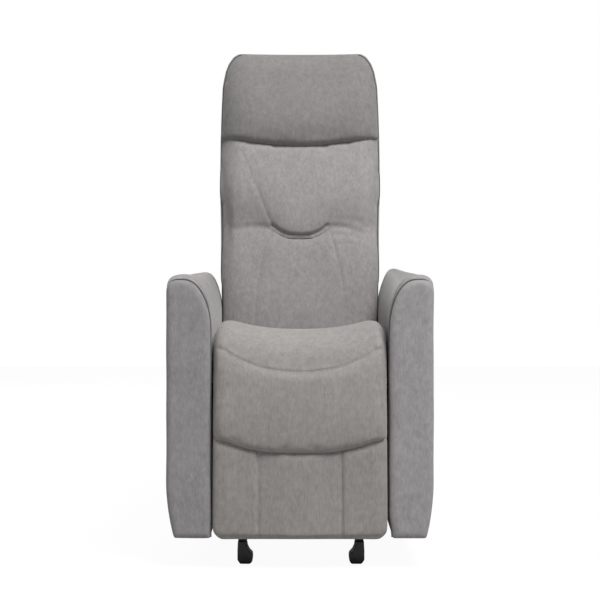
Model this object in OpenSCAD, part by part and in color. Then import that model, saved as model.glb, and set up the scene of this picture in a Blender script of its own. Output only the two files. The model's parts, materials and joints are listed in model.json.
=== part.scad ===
// Rocker recliner: a narrow, tall-backed chair on a steel rocker base. Its back tips,
// and its legrest swings up on a pair of parallel links under the seat.
// Millimetres, +Z up, front of the chair towards -Y. Left is the side at -X.

/* [Overall] */
// Width over the arms
overall_w = 575; // [555:1:615]
// Depth from the crown of the legrest to the rear of the back
overall_d = 790; // [780:1:810]
// Height of the head pillow's top
overall_h = 1165; // [1120:1:1200]

/* [Arms] */
// Width of one arm
arm_w = 97; // [90:1:105]
// Height of the arm's underside above the floor
arm_z = 66; // [60:1:75]
// Height of the top of the arm's front panel
arm_panel_top = 619; // [600:1:640]
// How far the padded top stands above the front panel
arm_roll_over = 12; // [6:1:18]
// Rise of the padding at the middle of the arm's length
arm_crown = 6; // [2:1:10]
// Length of the arm without its front panel
arm_l = 643; // [625:1:650]
// Setback of the arm's front panel from the crown of the legrest
arm_setback = 15; // [12:1:20]
// Width of the roll at the arm's inner top corner
arm_roll_w = 66; // [50:1:72]
// Height of that roll
arm_roll_h = 125; // [90:1:150]
// Reach of the rounding at the arm's outer top corner
arm_outer_r = 22; // [12:1:28]
// How far the outer side draws in towards the floor
arm_tuck_w = 20; // [10:1:26]
// Height over which it draws in
arm_tuck_h = 120; // [80:1:150]
// Depth of the rounding at the arm's rear edge
arm_rear_r = 26; // [14:1:34]
// Depth over which the top rolls down to the front panel
arm_front_r = 36; // [20:1:44]
// Thickness of the padded front panel
arm_panel_t = 12; // [8:1:16]
// Width of the front panel's rounded border
arm_panel_edge = 12; // [8:1:16]
// Padding between the cover and the wooden arm frame
arm_skin = 9; // [7:1:12]
// Thickness of the arm frame's plywood side
arm_ply_t = 12; // [9:1:15]
// Section of the arm frame's battens
arm_batten = 30; // [24:1:36]
// Height of the arm frame
arm_frame_h = 430; // [400:1:440]

/* [Seat] */
// Height of the seat frame's top
deck_z = 396; // [385:1:405]
// Depth of the seat frame's side and rear rails
seat_rail_h = 60; // [52:1:64]
// Depth of the front rail, which the open links pass under
front_rail_h = 38; // [30:1:42]
// Thickness of the side rails
side_rail_t = 34; // [28:1:38]
// Thickness of the front and rear rails
cross_rail_t = 22; // [18:1:26]
// Distance of the front rail behind the crown of the legrest
front_rail_back = 50; // [48:1:56]
// Length of the side rails
side_rail_l = 429; // [425:1:432]
// Height of the seat cushion's crest at the middle
seat_crest = 517; // [505:1:530]
// How much higher the crest is at the sides
seat_ears = 14; // [6:1:18]
// Height of the cushion's rear top edge
seat_rear_top = 500; // [480:1:510]
// Distance of the crest behind the crown of the legrest
crest_back = 110; // [80:1:150]
// Rounding of the cushion's two side edges
seat_edge = 16; // [10:1:20]
// Height of the seam under the seat's front at the sides
seam_side_z = 480; // [474:1:484]
// How much lower that seam hangs at the middle
seam_smile = 54; // [40:1:60]
// Depth by which that seam lies behind the crown
seam_draw = 9; // [6:1:12]

/* [Springs] */
// Wire of the zigzag springs
zig_wire = 4; // [3:0.5:5]
// Width of one zigzag spring
zig_w = 50; // [40:1:60]
// Zigzag springs across the seat
seat_zigs = 4; // [3:1:5]
// Bars in each seat spring
seat_zig_bars = 11; // [9:2:13]
// Zigzag springs across the back
back_zigs = 3; // [2:1:4]
// Bars in each back spring
back_zig_bars = 15; // [11:2:17]

/* [Legrest] */
// Half the width of the legrest
leg_half = 187; // [180:1:188]
// Height of the legrest's lower edge
leg_z = 63; // [55:1:72]
// Height of the tuck between the two pads at the middle
tuck_mid_z = 246; // [240:1:254]
// How much higher the tuck is at the sides
tuck_rise = 28; // [15:1:32]
// Gap between the two pads at their boards
tuck_gap = 7; // [6:1:9]
// Thickness of the upper pad at its middle
flap_pad_t = 32; // [26:1:36]
// Thickness of the lower pad at its middle
foot_pad_t = 24; // [18:1:28]
// Thickness of a pad at its edge
pad_edge_t = 9; // [6:1:12]
// Distance of the lower pad's two seams from the middle
foot_seam_x = 90; // [70:1:110]
// Depth of a sewn channel
channel_t = 5; // [3:1:7]
// Thickness of the boards behind the pads
board_t = 12; // [9:1:14]
// Inset of a board from the edge of its pad
board_inset = 12; // [8:1:18]
// Swing of the upper pad from hanging to open, degrees
flap_swing = 78; // [70:1:80]
// Further tilt of the lower pad on the upper one, degrees
foot_tilt = 12; // [6:1:12]

/* [Linkage] */
// Thickness of the links, plates and brackets
steel_t = 3; // [2.5:0.5:3.5]
// Width of a link
link_w = 24; // [20:1:28]
// Radius of the rivets' shanks
rivet_r = 4; // [3:0.5:5]
// Radius of the rivets' heads
rivet_head_r = 7; // [6:0.5:8.5]
// Height of the rivets' heads
rivet_head_t = 2.5; // [2:0.5:3]
// How far behind the footrest pivot the knee lies
link_reach = 217; // [205:1:225]
// How far below the footrest pivot the knee lies
link_drop = 120; // [116:1:124]
// Distance of the control link ahead of the drive link
control_gap = 52; // [48:1:60]
// How much higher the control link's pivots are
control_rise = 18; // [14:1:20]
// Height of the footrest pivot
foot_pin_z = 256; // [250:1:262]
// Distance of the footrest pivot behind the board
foot_pin_back = 15; // [14:1:20]
// Radius of the torque tube
torque_r = 10; // [8:1:12]
// Radius of the hinge knuckles between the boards
knuckle_r = 4.5; // [4:0.5:5]
// Length of one of those hinges
knuckle_l = 60; // [40:1:80]

/* [Back] */
// Height of the back's pivot
pivot_z = 330; // [322:1:338]
// Rake of the back when upright, degrees
rake = 10; // [8:1:12]
// Half the width of the back between the arms
back_low_half = 188; // [184:1:189]
// Half the width of the back above the arms
back_high_half = 195; // [190:1:198]
// Half the width of the cushions at their fullest
cushion_half = 199; // [194:1:201]
// Depth of the wooden back frame
back_frame_t = 35; // [28:1:40]
// Width of the frame's posts and rails
back_post_w = 24; // [20:1:28]
// Depth of the back's rear shell behind the frame's front
shell_t = 57; // [52:1:62]
// Thickness of the shell's rear wall
shell_wall = 12; // [8:1:14]
// Height along the back, above the pivot, at which the cushion starts
back_cushion_h = 62; // [58:1:70]
// Height along the back at which the back widens over the arms
shoulder_h = 318; // [310:1:340]
// Rounding of the back's top corners
back_corner_r = 52; // [40:1:60]
// Thickness of the back cushion at its middle
back_cushion_t = 98; // [90:1:104]
// Thickness of the back cushion at its edge
back_edge_t = 62; // [50:1:70]
// Thickness of the head pillow at its middle
head_t = 116; // [106:1:124]
// Thickness of the head pillow's lower edge
head_edge_t = 88; // [70:1:96]
// Thickness of the head pillow's top edge
head_top_t = 40; // [30:1:50]
// Height along the back of the pillow's lower seam at the sides
head_seam_h = 628; // [600:1:640]
// How much lower that seam hangs at the middle
head_smile = 26; // [15:1:34]
// Depth of the sewn shield's seams
shield_t = 12; // [6:1:14]
// Half the width of the shield at its waist
shield_waist = 77; // [65:1:90]
// Height along the back of that waist
shield_waist_h = 405; // [390:1:420]
// Half the width of the shield at the head pillow
shield_top = 146; // [130:1:155]
// Half the width of the centre panel at the seat
shield_foot = 110; // [95:1:120]
// How far the shield's curved lower seam hangs below its waist
shield_hang = 30; // [18:1:36]

/* [Base] */
// Width of a base rail's channel
rail_w = 13; // [11:1:15]
// Distance of the rails' inner faces from the middle
rail_in = 121.5; // [116:0.5:122]
// Height of the rails' flat track
track_z = 100; // [95:1:104]
// Depth of a rail over its bar
rail_bar_h = 34; // [28:1:38]
// Length of a base rail
rail_l = 536; // [520:1:545]
// Distance of the rails' front end behind the crown of the legrest
rail_back = 91; // [85:1:100]
// Length of a rail's foot
rail_foot_l = 28; // [24:1:34]
// Sheet thickness of the rails
rail_t = 2.5; // [2:0.5:3]
// Rounding of the rails' ends
rail_r = 30; // [22:1:33]
// Height of a floor glide
glide_h = 24; // [20:1:28]
// Width of a floor glide
glide_w = 32; // [28:1:34]
// Length of a floor glide
glide_l = 46; // [40:1:52]
// Depth of the socket that a rail stands in
glide_socket = 6; // [4:1:8]
// Radius of the cross tubes
cross_r = 11; // [9:1:12]

/* [Rocker] */
// Place of the rocking contact, fore and aft
rock_y = 24; // [15:1:30]
// Radius of the rocker cams
cam_r = 400; // [360:10:440]
// Length of a cam
cam_l = 200; // [190:1:205]
// Height of a cam
cam_h = 66; // [60:1:70]
// Largest rocking angle, degrees
rock_most = 7; // [5:1:7]
// Distance of the coil springs from the contact, fore and aft
coil_y = 45; // [40:1:55]
// Radius of the coil springs at the wire's middle
coil_r = 15; // [12:0.5:16]
// Radius of the coil springs' wire
coil_wire_r = 2.5; // [2:0.25:3]
// Turns of each coil spring
coil_turns = 4.5; // [4:0.5:5]
// Width of the plates that hold the coil springs
coil_plate_w = 42; // [38:1:44]

/* [Release] */
// Length of the release handle's cup
cup_l = 110; // [96:1:120]
// Height of the cup
cup_h = 64; // [56:1:70]
// Depth of the cup
cup_d = 16; // [14:1:18]
// Wall of the cup
cup_wall = 2.5; // [2:0.5:3]
// Place of the cup's middle, fore and aft
cup_y = -120; // [-150:5:-90]
// Height of the cup's middle
cup_z = 430; // [415:1:450]
// Thickness of the paddle
paddle_t = 3.5; // [3:0.5:4]
// Height of the paddle
paddle_h = 36; // [30:1:40]
// Radius of the paddle's pin
paddle_pin_r = 2.5; // [2:0.5:3]

/* [Fits] */
// Clearance between pieces that seat on each other
fit = 0.3; // [0.2:0.1:0.5]
// Running clearance between moving steel pieces
run_gap = 0.6; // [0.5:0.1:0.8]
// Clearance between moving soft pieces
soft_gap = 1.5; // [1:0.5:3]
// Radius of the bolts
bolt_r = 4; // [3:0.5:4.5]
// Radius of the bolts' heads
bolt_head_r = 7; // [6:0.5:8]
// Height of the bolts' heads
bolt_head_t = 4; // [3:0.5:4.5]

/* [Hidden] */
// Overrun of every cut
over = 2;
// Facets of round pieces and of the hulls
$fn = 64;
hull_fn = 24;

// Colours
fabric_colour = "#989391";
panel_colour = "#8f8b88";
wood_colour = "#c9a77a";
steel_colour = "#4a4c4f";
bright_colour = "#9a9da1";
black_colour = "#1c1c1e";

// Places that follow from the sizes above
front_y = -overall_d/2;
arm_out = overall_w/2;
arm_in = arm_out - arm_w;
arm_front_y = front_y + arm_setback + arm_panel_t;
arm_rear_y = arm_front_y + arm_l;
arm_top = arm_panel_top + arm_roll_over;

// Stack across the chair, from the arm inwards: rail, plate, drive link, extension link, bracket
rail_out_x = arm_in - fit;
plate_out_x = rail_out_x - side_rail_t;
plate_in_x = plate_out_x - steel_t;
drive_x = plate_in_x - run_gap - steel_t;
extension_x = drive_x - run_gap - steel_t;
bracket_x = extension_x - run_gap - steel_t;
back_bracket_x = plate_out_x + run_gap;
post_x = back_bracket_x + steel_t;

// Seat frame
front_rail_y = front_y + front_rail_back;
seat_bottom = deck_z + zig_wire + fit;
side_rail_end = front_rail_y + side_rail_l;
rear_rail_y = side_rail_end - cross_rail_t;

// Back, in its own frame: along x, back from the frame's front, and up from the pivot
shell_top_drop = 4;
zig_rest = zig_wire + fit;
head_top_h = (overall_h - pivot_z - (head_top_t + zig_rest)*sin(rake))/cos(rake);
shell_top_h = head_top_h - shell_top_drop;
pivot_y = overall_d/2 - shell_t*cos(rake) - shell_top_h*sin(rake);

// Legrest, hanging
board_y = front_y + flap_pad_t;
board_rear_y = board_y + board_t;
flap_hinge = [front_y + seam_draw, seam_side_z];
fold_hinge = [board_rear_y + knuckle_r, tuck_mid_z + board_inset];

// Turns a place [y, z] about a centre, as the legrest swings up and the back tips
function turn(p, c, a) = let (d = p - c) c + [d[0]*cos(a) + d[1]*sin(a), d[1]*cos(a) - d[0]*sin(a)];
function unit(v) = v/norm(v);

// Linkage: the drive link's length, swing and pivot follow from where the footrest pivot must go
foot_pin = [board_rear_y + foot_pin_back, foot_pin_z];
function foot_pin_at(share) = turn(turn(foot_pin, fold_hinge, foot_tilt*share), flap_hinge, flap_swing*share);
foot_pin_open = foot_pin_at(1);
foot_chord = foot_pin_open - foot_pin;
foot_sag = norm(foot_pin_at(1/2) - (foot_pin + foot_pin_open)/2);
drive_swing = 4*atan(2*foot_sag/norm(foot_chord));
drive_l = norm(foot_chord)/(2*sin(drive_swing/2));
arc_centre = (foot_pin + foot_pin_open)/2
  + unit([foot_chord[1], -foot_chord[0]])*drive_l*cos(drive_swing/2);
knee = foot_pin + [link_reach, -link_drop];
drive_pin = arc_centre + [link_reach, -link_drop];
control_pin = drive_pin + [-control_gap, control_rise];
control_knee = knee + [-control_gap, control_rise];
// The footrest pivot is where the linkage closes, so its hole takes up what the arc misses
open_misses = [for (i = [0:20]) norm(foot_pin_at(i/20) - turn(foot_pin, arc_centre, drive_swing*i/20))];
open_gap = max(open_misses) + fit;
echo(drive_swing = drive_swing, drive_l = drive_l, drive_pin = drive_pin, knee = knee,
  control_pin = control_pin, foot_pin = foot_pin, flap_hinge = flap_hinge, fold_hinge = fold_hinge,
  open_gap = open_gap, pivot = [pivot_y, pivot_z]);

// Base
rail_front_y = front_y + rail_back;
rail_rear_y = rail_front_y + rail_l;
rail_mid_x = rail_in + rail_w/2;
rail_foot_z = glide_h - glide_socket;
cam_lift = cam_r*(1 - cos(rock_most)) + fit;
cam_z = track_z + cam_lift;
cam_in = rail_in + rail_t;
coil_x = rail_in - coil_plate_w/2;
coil_plate_t = 4;
coil_drop = 16;
coil_foot_z = track_z - rail_bar_h + coil_plate_t;
coil_head_z = cam_z + cam_h - coil_drop;
cross_share = 0.6;
cross_z = track_z - rail_bar_h*cross_share;

// Builds the right-hand piece as drawn, or its mirror image on the left
module on_side(side) {
  if (side < 0) mirror([1, 0, 0]) children();
  else children();
}

// Turns the side view [y, z] into a plate that lies from x to x + t
module plate(x, t) {
  translate([x, 0, 0]) rotate([90, 0, 90]) linear_extrude(t) children();
}

// A steel strap through places of the side view, with round ends a hair wider than its straight runs
strap_relief = 0.15;
module strap(places, w) {
  run_w = w - 2*strap_relief;
  for (p = places) translate(p) circle(r = w/2);
  for (i = [1:len(places) - 1]) let (p = places[i - 1], d = places[i] - p)
    translate(p) rotate(atan2(d[1], d[0])) translate([0, -run_w/2]) square([norm(d), run_w]);
}

// A rectangle with four round corners, centred
module round_rect(w, h, r) {
  square([w - 2*r, h], center = true);
  square([w, h - 2*r], center = true);
  for (x = [-1, 1], y = [-1, 1]) translate([x*(w/2 - r), y*(h/2 - r)]) circle(r = r);
}

// A skin through rings of points, closed by a flat face on the first and the last ring
module loft(rings) {
  n = len(rings[0]);
  last = (len(rings) - 1)*n;
  polyhedron(
    points = [for (ring = rings) each ring],
    faces = [
      [for (i = [0:n - 1]) i],
      for (a = [0:n:last - n], i = [0:n - 1]) let (j = (i + 1) % n)
        each [[a + i, a + n + j, a + j], [a + i, a + n + i, a + n + j]],
      [last, for (i = [n - 1:-1:1]) last + i],
    ],
    convexity = 6);
}

// A closed outline with rounded corners, each given as [across, up, reach before, reach after]
corner_steps = 4;
function soft_loop(corners) = let (n = len(corners)) [
  for (i = [0:n - 1])
    let (
      c = corners[i],
      p = [c[0], c[1]],
      before = [corners[(i + n - 1) % n][0], corners[(i + n - 1) % n][1]],
      after = [corners[(i + 1) % n][0], corners[(i + 1) % n][1]],
      a = p + c[2]*unit(before - p),
      b = p + c[3]*unit(after - p))
    for (k = [0:corner_steps]) let (t = k/corner_steps) a*(1 - t)*(1 - t) + p*2*t*(1 - t) + b*t*t
];

// How full a pad is at a share of the way from its middle (0) to its edge (1 or -1)
function puff(share) = sqrt(max(0, 1 - pow(abs(share), 4)));

// A pad with a flat back. place(u, v, out) gives the point that lies out in front of the back,
// u and v running from -1 to 1 across and up it, and out_of(u, v) gives its thickness there
module pad(us, vs, place, out_of) {
  last = len(vs) - 1;
  loft([for (u = us) [
    place(u, -1, 0), place(u, 1, 0), for (i = [last:-1:0]) place(u, vs[i], out_of(u, vs[i]))]]);
}

// Shares at which pads are measured, closer together at the rounded edges
edge_shares = [0, 0.3, 0.55, 0.75, 0.88, 0.96, 1];
function both_ways(shares) = [for (i = [len(shares) - 1:-1:1]) -shares[i], each shares];
pad_shares = both_ways(edge_shares);

// One zigzag spring, flat, from its first bar at 0 to its last at l
module zigzag(l, bars) {
  pitch = l/(bars - 1);
  reach = zig_w/2 - pitch/2;
  for (i = [0:bars - 1]) translate([-reach, i*pitch - zig_wire/2]) square([2*reach, zig_wire]);
  for (i = [0:bars - 2]) {
    side = i % 2 == 0 ? 1 : -1;
    translate([side*reach, (i + 0.5)*pitch]) intersection() {
      difference() {
        circle(r = pitch/2 + zig_wire/2);
        circle(r = pitch/2 - zig_wire/2);
      }
      translate([side > 0 ? 0 : -pitch, -pitch]) square([pitch, 2*pitch]);
    }
  }
}

// A rivet or pin along x: a shank from x0 to x1 and a head beyond x0
module rivet(p, x0, x1) {
  translate([x0, p[0], p[1]]) rotate([0, 90, 0]) cylinder(r = rivet_r, h = x1 - x0);
  translate([x0 - rivet_head_t, p[0], p[1]]) rotate([0, 90, 0]) cylinder(r = rivet_head_r, h = rivet_head_t);
}

// Base

// A block with two round top corners, in the side view
module arch(y0, y1, z0, z1, r) {
  translate([y0, z0]) square([y1 - y0, z1 - r - z0]);
  translate([y0 + r, z0]) square([y1 - y0 - 2*r, z1 - z0]);
  for (y = [y0 + r, y1 - r]) translate([y, z1 - r]) circle(r = r);
}

// Side view of a base rail, drawn in by i for the pocket of its channel
module rail_side(i) {
  difference() {
    arch(rail_front_y + i, rail_rear_y - i, rail_foot_z + i, track_z - i, rail_r - i);
    arch(rail_front_y + rail_foot_l - i, rail_rear_y - rail_foot_l + i,
      rail_foot_z - over, track_z - rail_bar_h + i, rail_r + i);
  }
}

module base_rail(side) {
  color(steel_colour) on_side(side) difference() {
    plate(rail_in, rail_w) rail_side(0);
    plate(rail_in + rail_t, rail_w) rail_side(rail_t);
  }
}

rail_foot_ys = [rail_front_y + rail_foot_l/2, rail_rear_y - rail_foot_l/2];
module base_cross_tubes() {
  color(steel_colour) for (y = rail_foot_ys)
    translate([-rail_in, y, cross_z]) rotate([0, 90, 0]) difference() {
      cylinder(r = cross_r, h = 2*rail_in);
      translate([0, 0, -over]) cylinder(r = cross_r - rail_t, h = 2*rail_in + 2*over);
    }
}

glide_toe = 2;
glide_lip = 2.5;
glide_slab = 0.5;
glide_sole_share = 0.78;
module glide_slice(z, w, l) {
  translate([0, 0, z]) linear_extrude(glide_slab) round_rect(w, l, w/3, $fn = hull_fn);
}
module floor_glides() {
  color(black_colour) for (side = [-1, 1], y = rail_foot_ys) on_side(side) difference() {
    translate([rail_mid_x, y, 0]) hull() {
      translate([-glide_toe, 0, 0]) {
        glide_slice(0, glide_w*glide_sole_share, glide_l*glide_sole_share);
        glide_slice(glide_h/6, glide_w, glide_l);
        glide_slice(glide_h/2, glide_w, glide_l);
      }
      glide_slice(glide_h - glide_slab, rail_w + 2*glide_lip, rail_foot_l + 2*glide_lip);
    }
    translate([rail_in - fit, y - rail_foot_l/2 - fit, rail_foot_z])
      cube([rail_w + 2*fit, rail_foot_l + 2*fit, glide_socket + over]);
  }
}

// Coil springs between base and rocker, two a side, over pegs on their seats
coil_ys = [rock_y - coil_y, rock_y + coil_y];
coil_peg_r = coil_r - coil_wire_r - soft_gap;
coil_peg_h = 12;
module coil_seat(x1, z, peg_way) {
  x0 = rail_in - coil_plate_w;
  for (side = [-1, 1]) on_side(side) {
    translate([x0, rock_y - coil_y - coil_plate_w/2, z])
      cube([x1 - x0, 2*coil_y + coil_plate_w, coil_plate_t]);
    for (y = coil_ys) translate([coil_x, y, peg_way > 0 ? z + coil_plate_t : z - coil_peg_h])
      cylinder(r = coil_peg_r, h = coil_peg_h);
  }
}
module coil_seats_lower() { color(steel_colour) coil_seat(rail_in, coil_foot_z - coil_plate_t, 1); }
module coil_seats_upper() { color(steel_colour) coil_seat(cam_in, coil_head_z, -1); }

coil_rings = 8;
coil_sides = 6;
coil_rest = 0.1;
coil_rise = coil_head_z - coil_foot_z - 2*(coil_wire_r + coil_rest);
function coil_at(turns) = [
  coil_r*cos(360*turns), coil_r*sin(360*turns), coil_wire_r + coil_rest + coil_rise*turns/coil_turns];
function coil_ring(turns) = [for (k = [coil_sides - 1:-1:0])
  let (c = coil_at(turns), a = 360*k/coil_sides, r = coil_r + coil_wire_r*cos(a))
    [r*cos(360*turns), r*sin(360*turns), c[2] + coil_wire_r*sin(a)]];
coil_gaps = [for (i = [0:coil_rings*(coil_turns - 1)])
  norm(coil_at(i/coil_rings + 1) - coil_at(i/coil_rings)) - 2*coil_wire_r];
echo(coil_least_gap = min(coil_gaps));
module rocker_springs() {
  color(bright_colour) for (side = [-1, 1], y = coil_ys) on_side(side)
    translate([coil_x, y, coil_foot_z])
      loft([for (i = [0:coil_rings*coil_turns]) coil_ring(i/coil_rings)]);
}

// Rocker

cam_corner_r = 18;
cam_bolt_share = 0.3;
cam_bolt_h_share = 0.62;
cam_bolts_at = [for (way = [-1, 1]) [rock_y + way*cam_l*cam_bolt_share, cam_z + cam_h*cam_bolt_h_share]];
module cross_bore(p, x0, x1, r) {
  translate([x0, p[0], p[1]]) rotate([0, 90, 0]) cylinder(r = r, h = x1 - x0);
}

module rocker_cam(side) {
  color(wood_colour) on_side(side) difference() {
    plate(cam_in, plate_in_x - cam_in) intersection() {
      arch(rock_y - cam_l/2, rock_y + cam_l/2, cam_z - over, cam_z + cam_h, cam_corner_r);
      translate([rock_y, cam_z + cam_r]) circle(r = cam_r, $fn = 4*$fn);
    }
    for (p = cam_bolts_at) cross_bore(p, cam_in - over, plate_out_x + over, bolt_r + pin_fit);
  }
}
module cam_bolts() {
  color(bright_colour) for (side = [-1, 1], p = cam_bolts_at) on_side(side) {
    cross_bore(p, cam_in, plate_out_x, bolt_r);
    cross_bore(p, cam_in - bolt_head_t, cam_in, bolt_head_r);
  }
}

// Mechanism

pin_fit = 0.1;
plate_margin = 2;
plate_corner_r = 10;
plate_web_low = 150;
plate_web_high = 104;
plate_lap = 22;
plate_hole_r = 30;
plate_arm_w = 44;
bolt_y_shares = [0.1, 0.62, 0.9];
bolt_z_share = 0.4;
bolt_z = deck_z - seat_rail_h*bolt_z_share;
arm_bolts_at = [for (share = bolt_y_shares) [front_rail_y + side_rail_l*share, bolt_z]];
beam_y0 = front_rail_y + cross_rail_t + plate_margin;
beam_z0 = deck_z - seat_rail_h + plate_margin;
recline_pin = [pivot_y, pivot_z];

module mechanism_plate(side) {
  color(steel_colour) on_side(side) difference() {
    plate(plate_in_x, steel_t) difference() {
      union() {
        translate([(beam_y0 + side_rail_end)/2, deck_z - seat_rail_h/2])
          round_rect(side_rail_end - beam_y0, seat_rail_h - 2*plate_margin, plate_corner_r);
        strap([[side_rail_end - plate_arm_w, deck_z - seat_rail_h/2], recline_pin], plate_arm_w);
        polygon([
          [rock_y - plate_web_low/2, cam_z + plate_lap], [rock_y + plate_web_low/2, cam_z + plate_lap],
          [rock_y + plate_web_high/2, beam_z0 + plate_corner_r],
          [rock_y - plate_web_high/2, beam_z0 + plate_corner_r],
        ]);
      }
      translate([rock_y, (cam_z + cam_h + beam_z0)/2]) circle(r = plate_hole_r);
    }
    for (p = [drive_pin, control_pin, recline_pin])
      cross_bore(p, plate_in_x - over, plate_out_x + over, rivet_r + pin_fit);
    for (p = concat(cam_bolts_at, arm_bolts_at))
      cross_bore(p, plate_in_x - over, plate_out_x + over, bolt_r + pin_fit);
  }
}
module plate_rivets() {
  color(bright_colour) for (side = [-1, 1]) on_side(side) {
    for (p = [drive_pin, control_pin]) rivet(p, drive_x - fit, plate_out_x);
    rivet(recline_pin, plate_in_x, post_x);
  }
}

// One link: a strap through its pivots, given as [place, radius of the hole there]
module link(x, pivots) {
  difference() {
    plate(x, steel_t) strap([for (pivot = pivots) pivot[0]], link_w);
    for (pivot = pivots) cross_bore(pivot[0], x - over, x + steel_t + over, pivot[1]);
  }
}
module drive_link(side) {
  color(steel_colour) on_side(side)
    link(drive_x, [[drive_pin, rivet_r + fit], [knee, rivet_r + pin_fit]]);
}
module control_link(side) {
  color(steel_colour) on_side(side)
    link(drive_x, [[control_pin, rivet_r + fit], [control_knee, rivet_r + fit]]);
}
module extension_link(side) {
  color(steel_colour) on_side(side)
    link(extension_x, [
      [foot_pin, rivet_r + open_gap], [knee, rivet_r + fit], [control_knee, rivet_r + pin_fit]]);
}
torque_share = 0.3;
module torque_tube() {
  p = drive_pin + (knee - drive_pin)*torque_share;
  color(steel_colour) difference() {
    cross_bore(p, -drive_x, drive_x, torque_r);
    cross_bore(p, -drive_x - over, drive_x + over, torque_r - rail_t);
  }
}
module knee_rivets() {
  color(bright_colour) for (side = [-1, 1]) on_side(side) rivet(knee, extension_x - fit, drive_x + steel_t);
}
module control_rivets() {
  color(bright_colour) for (side = [-1, 1]) on_side(side)
    rivet(control_knee, extension_x, drive_x + steel_t);
}
module footrest_rivets() {
  head_x = extension_x + steel_t + fit;
  color(bright_colour) for (side = [-1, 1]) on_side(side) {
    cross_bore(foot_pin, bracket_x, head_x, rivet_r);
    cross_bore(foot_pin, head_x, head_x + rivet_head_t, rivet_head_r);
  }
}

// Seat

module seat_rail(y, half, h) {
  color(wood_colour) translate([-half, y, deck_z - h]) cube([2*half, cross_rail_t, h]);
}
module seat_side_rail(side) {
  color(wood_colour) on_side(side) difference() {
    translate([plate_out_x, front_rail_y, deck_z - seat_rail_h]) cube([side_rail_t, side_rail_l, seat_rail_h]);
    for (p = arm_bolts_at) cross_bore(p, plate_out_x - over, rail_out_x + over, bolt_r + pin_fit);
  }
}
module seat_springs() {
  y0 = front_rail_y + cross_rail_t/2;
  pitch = 2*plate_in_x/(seat_zigs + 0.5);
  color(bright_colour) for (i = [0:seat_zigs - 1])
    translate([(i - (seat_zigs - 1)/2)*pitch, y0, deck_z])
      linear_extrude(zig_wire) zigzag(rear_rail_y + cross_rail_t/2 - y0, seat_zig_bars);
}

seat_half = arm_in - soft_gap*3;
nose_back = board_rear_y + 2*soft_gap;
nose_in = 2;
nose_drop = 8;
crest_reach = 80;
nose_reach_top = 46;
nose_reach = 18;
seam_reach = 12;
small_reach = 3;
rear_reach = 30;
function seam_z(u) = seam_side_z - seam_smile*(1 - u*u);
function back_front(z) = pivot_y + (z - pivot_z)*tan(rake) - back_cushion_t/cos(rake) - soft_gap;
function seat_ring(x, i) = let (
  u = x/seat_half,
  crest = seat_crest + seat_ears*u*u - i,
  seam = seam_z(u))
  [for (p = soft_loop([
    [back_front(seat_bottom), seat_bottom, small_reach, small_reach],
    [back_front(seat_rear_top) - i, seat_rear_top - i, small_reach, rear_reach],
    [front_y + crest_back, crest, crest_reach, crest_reach/2],
    [front_y + nose_in + i, crest - nose_drop, nose_reach_top, nose_reach],
    [flap_hinge[0] + i, seam, seam_reach, small_reach],
    [nose_back, seam, small_reach, small_reach],
    [nose_back, seat_bottom, small_reach, small_reach],
  ])) [x, p[0], p[1]]];
seat_mid_shares = [-0.75, -0.5, -0.25, 0, 0.25, 0.5, 0.75];
edge_turns = [90, 60, 30, 0];
seat_stations = [
  for (i = [0:3]) [-seat_half + seat_edge*(1 - sin(edge_turns[i])), seat_edge*(1 - cos(edge_turns[i]))],
  for (share = seat_mid_shares) [(seat_half - seat_edge)*share, 0],
  for (i = [3:-1:0]) [seat_half - seat_edge*(1 - sin(edge_turns[i])), seat_edge*(1 - cos(edge_turns[i]))],
];
module seat_cushion() {
  color(fabric_colour) loft([for (s = seat_stations) seat_ring(s[0], s[1])]);
}

// Arms

// Front view of an arm, drawn in by the given sizes at its sides and top
function tongue(y, side_in, top_in, lift) = let (
  x0 = arm_in + side_in, x1 = arm_out - side_in, z1 = arm_top - top_in + lift)
  [for (p = soft_loop([
    [x0, arm_z, small_reach, small_reach],
    [x0, z1, arm_roll_h, arm_roll_w - side_in],
    [x1, z1, arm_outer_r, arm_outer_r],
    [x1, arm_z, arm_tuck_h, arm_tuck_w],
  ])) [p[0], y, p[1]]];
arm_side_share = 0.3;
arm_mid_shares = [0.2, 0.4, 0.6, 0.8];
arm_rings = [
  for (a = edge_turns) let (i = 1 - cos(a))
    tongue(arm_front_y + arm_front_r*(1 - sin(a)), 0, arm_roll_over*i, 0),
  for (share = arm_mid_shares)
    tongue(arm_front_y + arm_front_r + (arm_l - arm_front_r - arm_rear_r)*share, 0, 0, arm_crown*sin(180*share)),
  for (k = [3:-1:0]) let (a = edge_turns[k], i = arm_rear_r*(1 - cos(a)))
    tongue(arm_rear_y - arm_rear_r*(1 - sin(a)), i*arm_side_share, i, 0),
];

arm_frame_x = arm_in + arm_skin;
arm_frame_y0 = arm_front_y + 2*arm_skin;
arm_frame_y1 = arm_rear_y - arm_rear_r - arm_skin;
arm_frame_out = arm_out - arm_tuck_w - arm_skin;
// The arm frame, or with g the pocket that holds it with that clearance, open below
module arm_frame_shape(g, below) {
  l = arm_frame_y1 - arm_frame_y0;
  batten_l = arm_frame_out - arm_frame_x;
  translate([arm_frame_x - g, arm_frame_y0 - g, arm_z - below])
    cube([arm_ply_t + 2*g, l + 2*g, arm_frame_h + below + g]);
  for (y = [arm_frame_y0, arm_frame_y1 - arm_batten]) translate([arm_frame_x - g, y - g, arm_z - below])
    cube([batten_l + 2*g, arm_batten + 2*g, arm_frame_h + below + g]);
  translate([arm_frame_x - g, arm_frame_y0 - g, arm_z + arm_frame_h - arm_batten - g])
    cube([batten_l + 2*g, l + 2*g, arm_batten + 2*g]);
}
module arm_frame(side) {
  color(wood_colour) on_side(side) difference() {
    arm_frame_shape(0, 0);
    for (p = arm_bolts_at) cross_bore(p, arm_in, arm_frame_x + arm_ply_t + over, bolt_r + pin_fit);
  }
}
cup_corner_r = 8;
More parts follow.
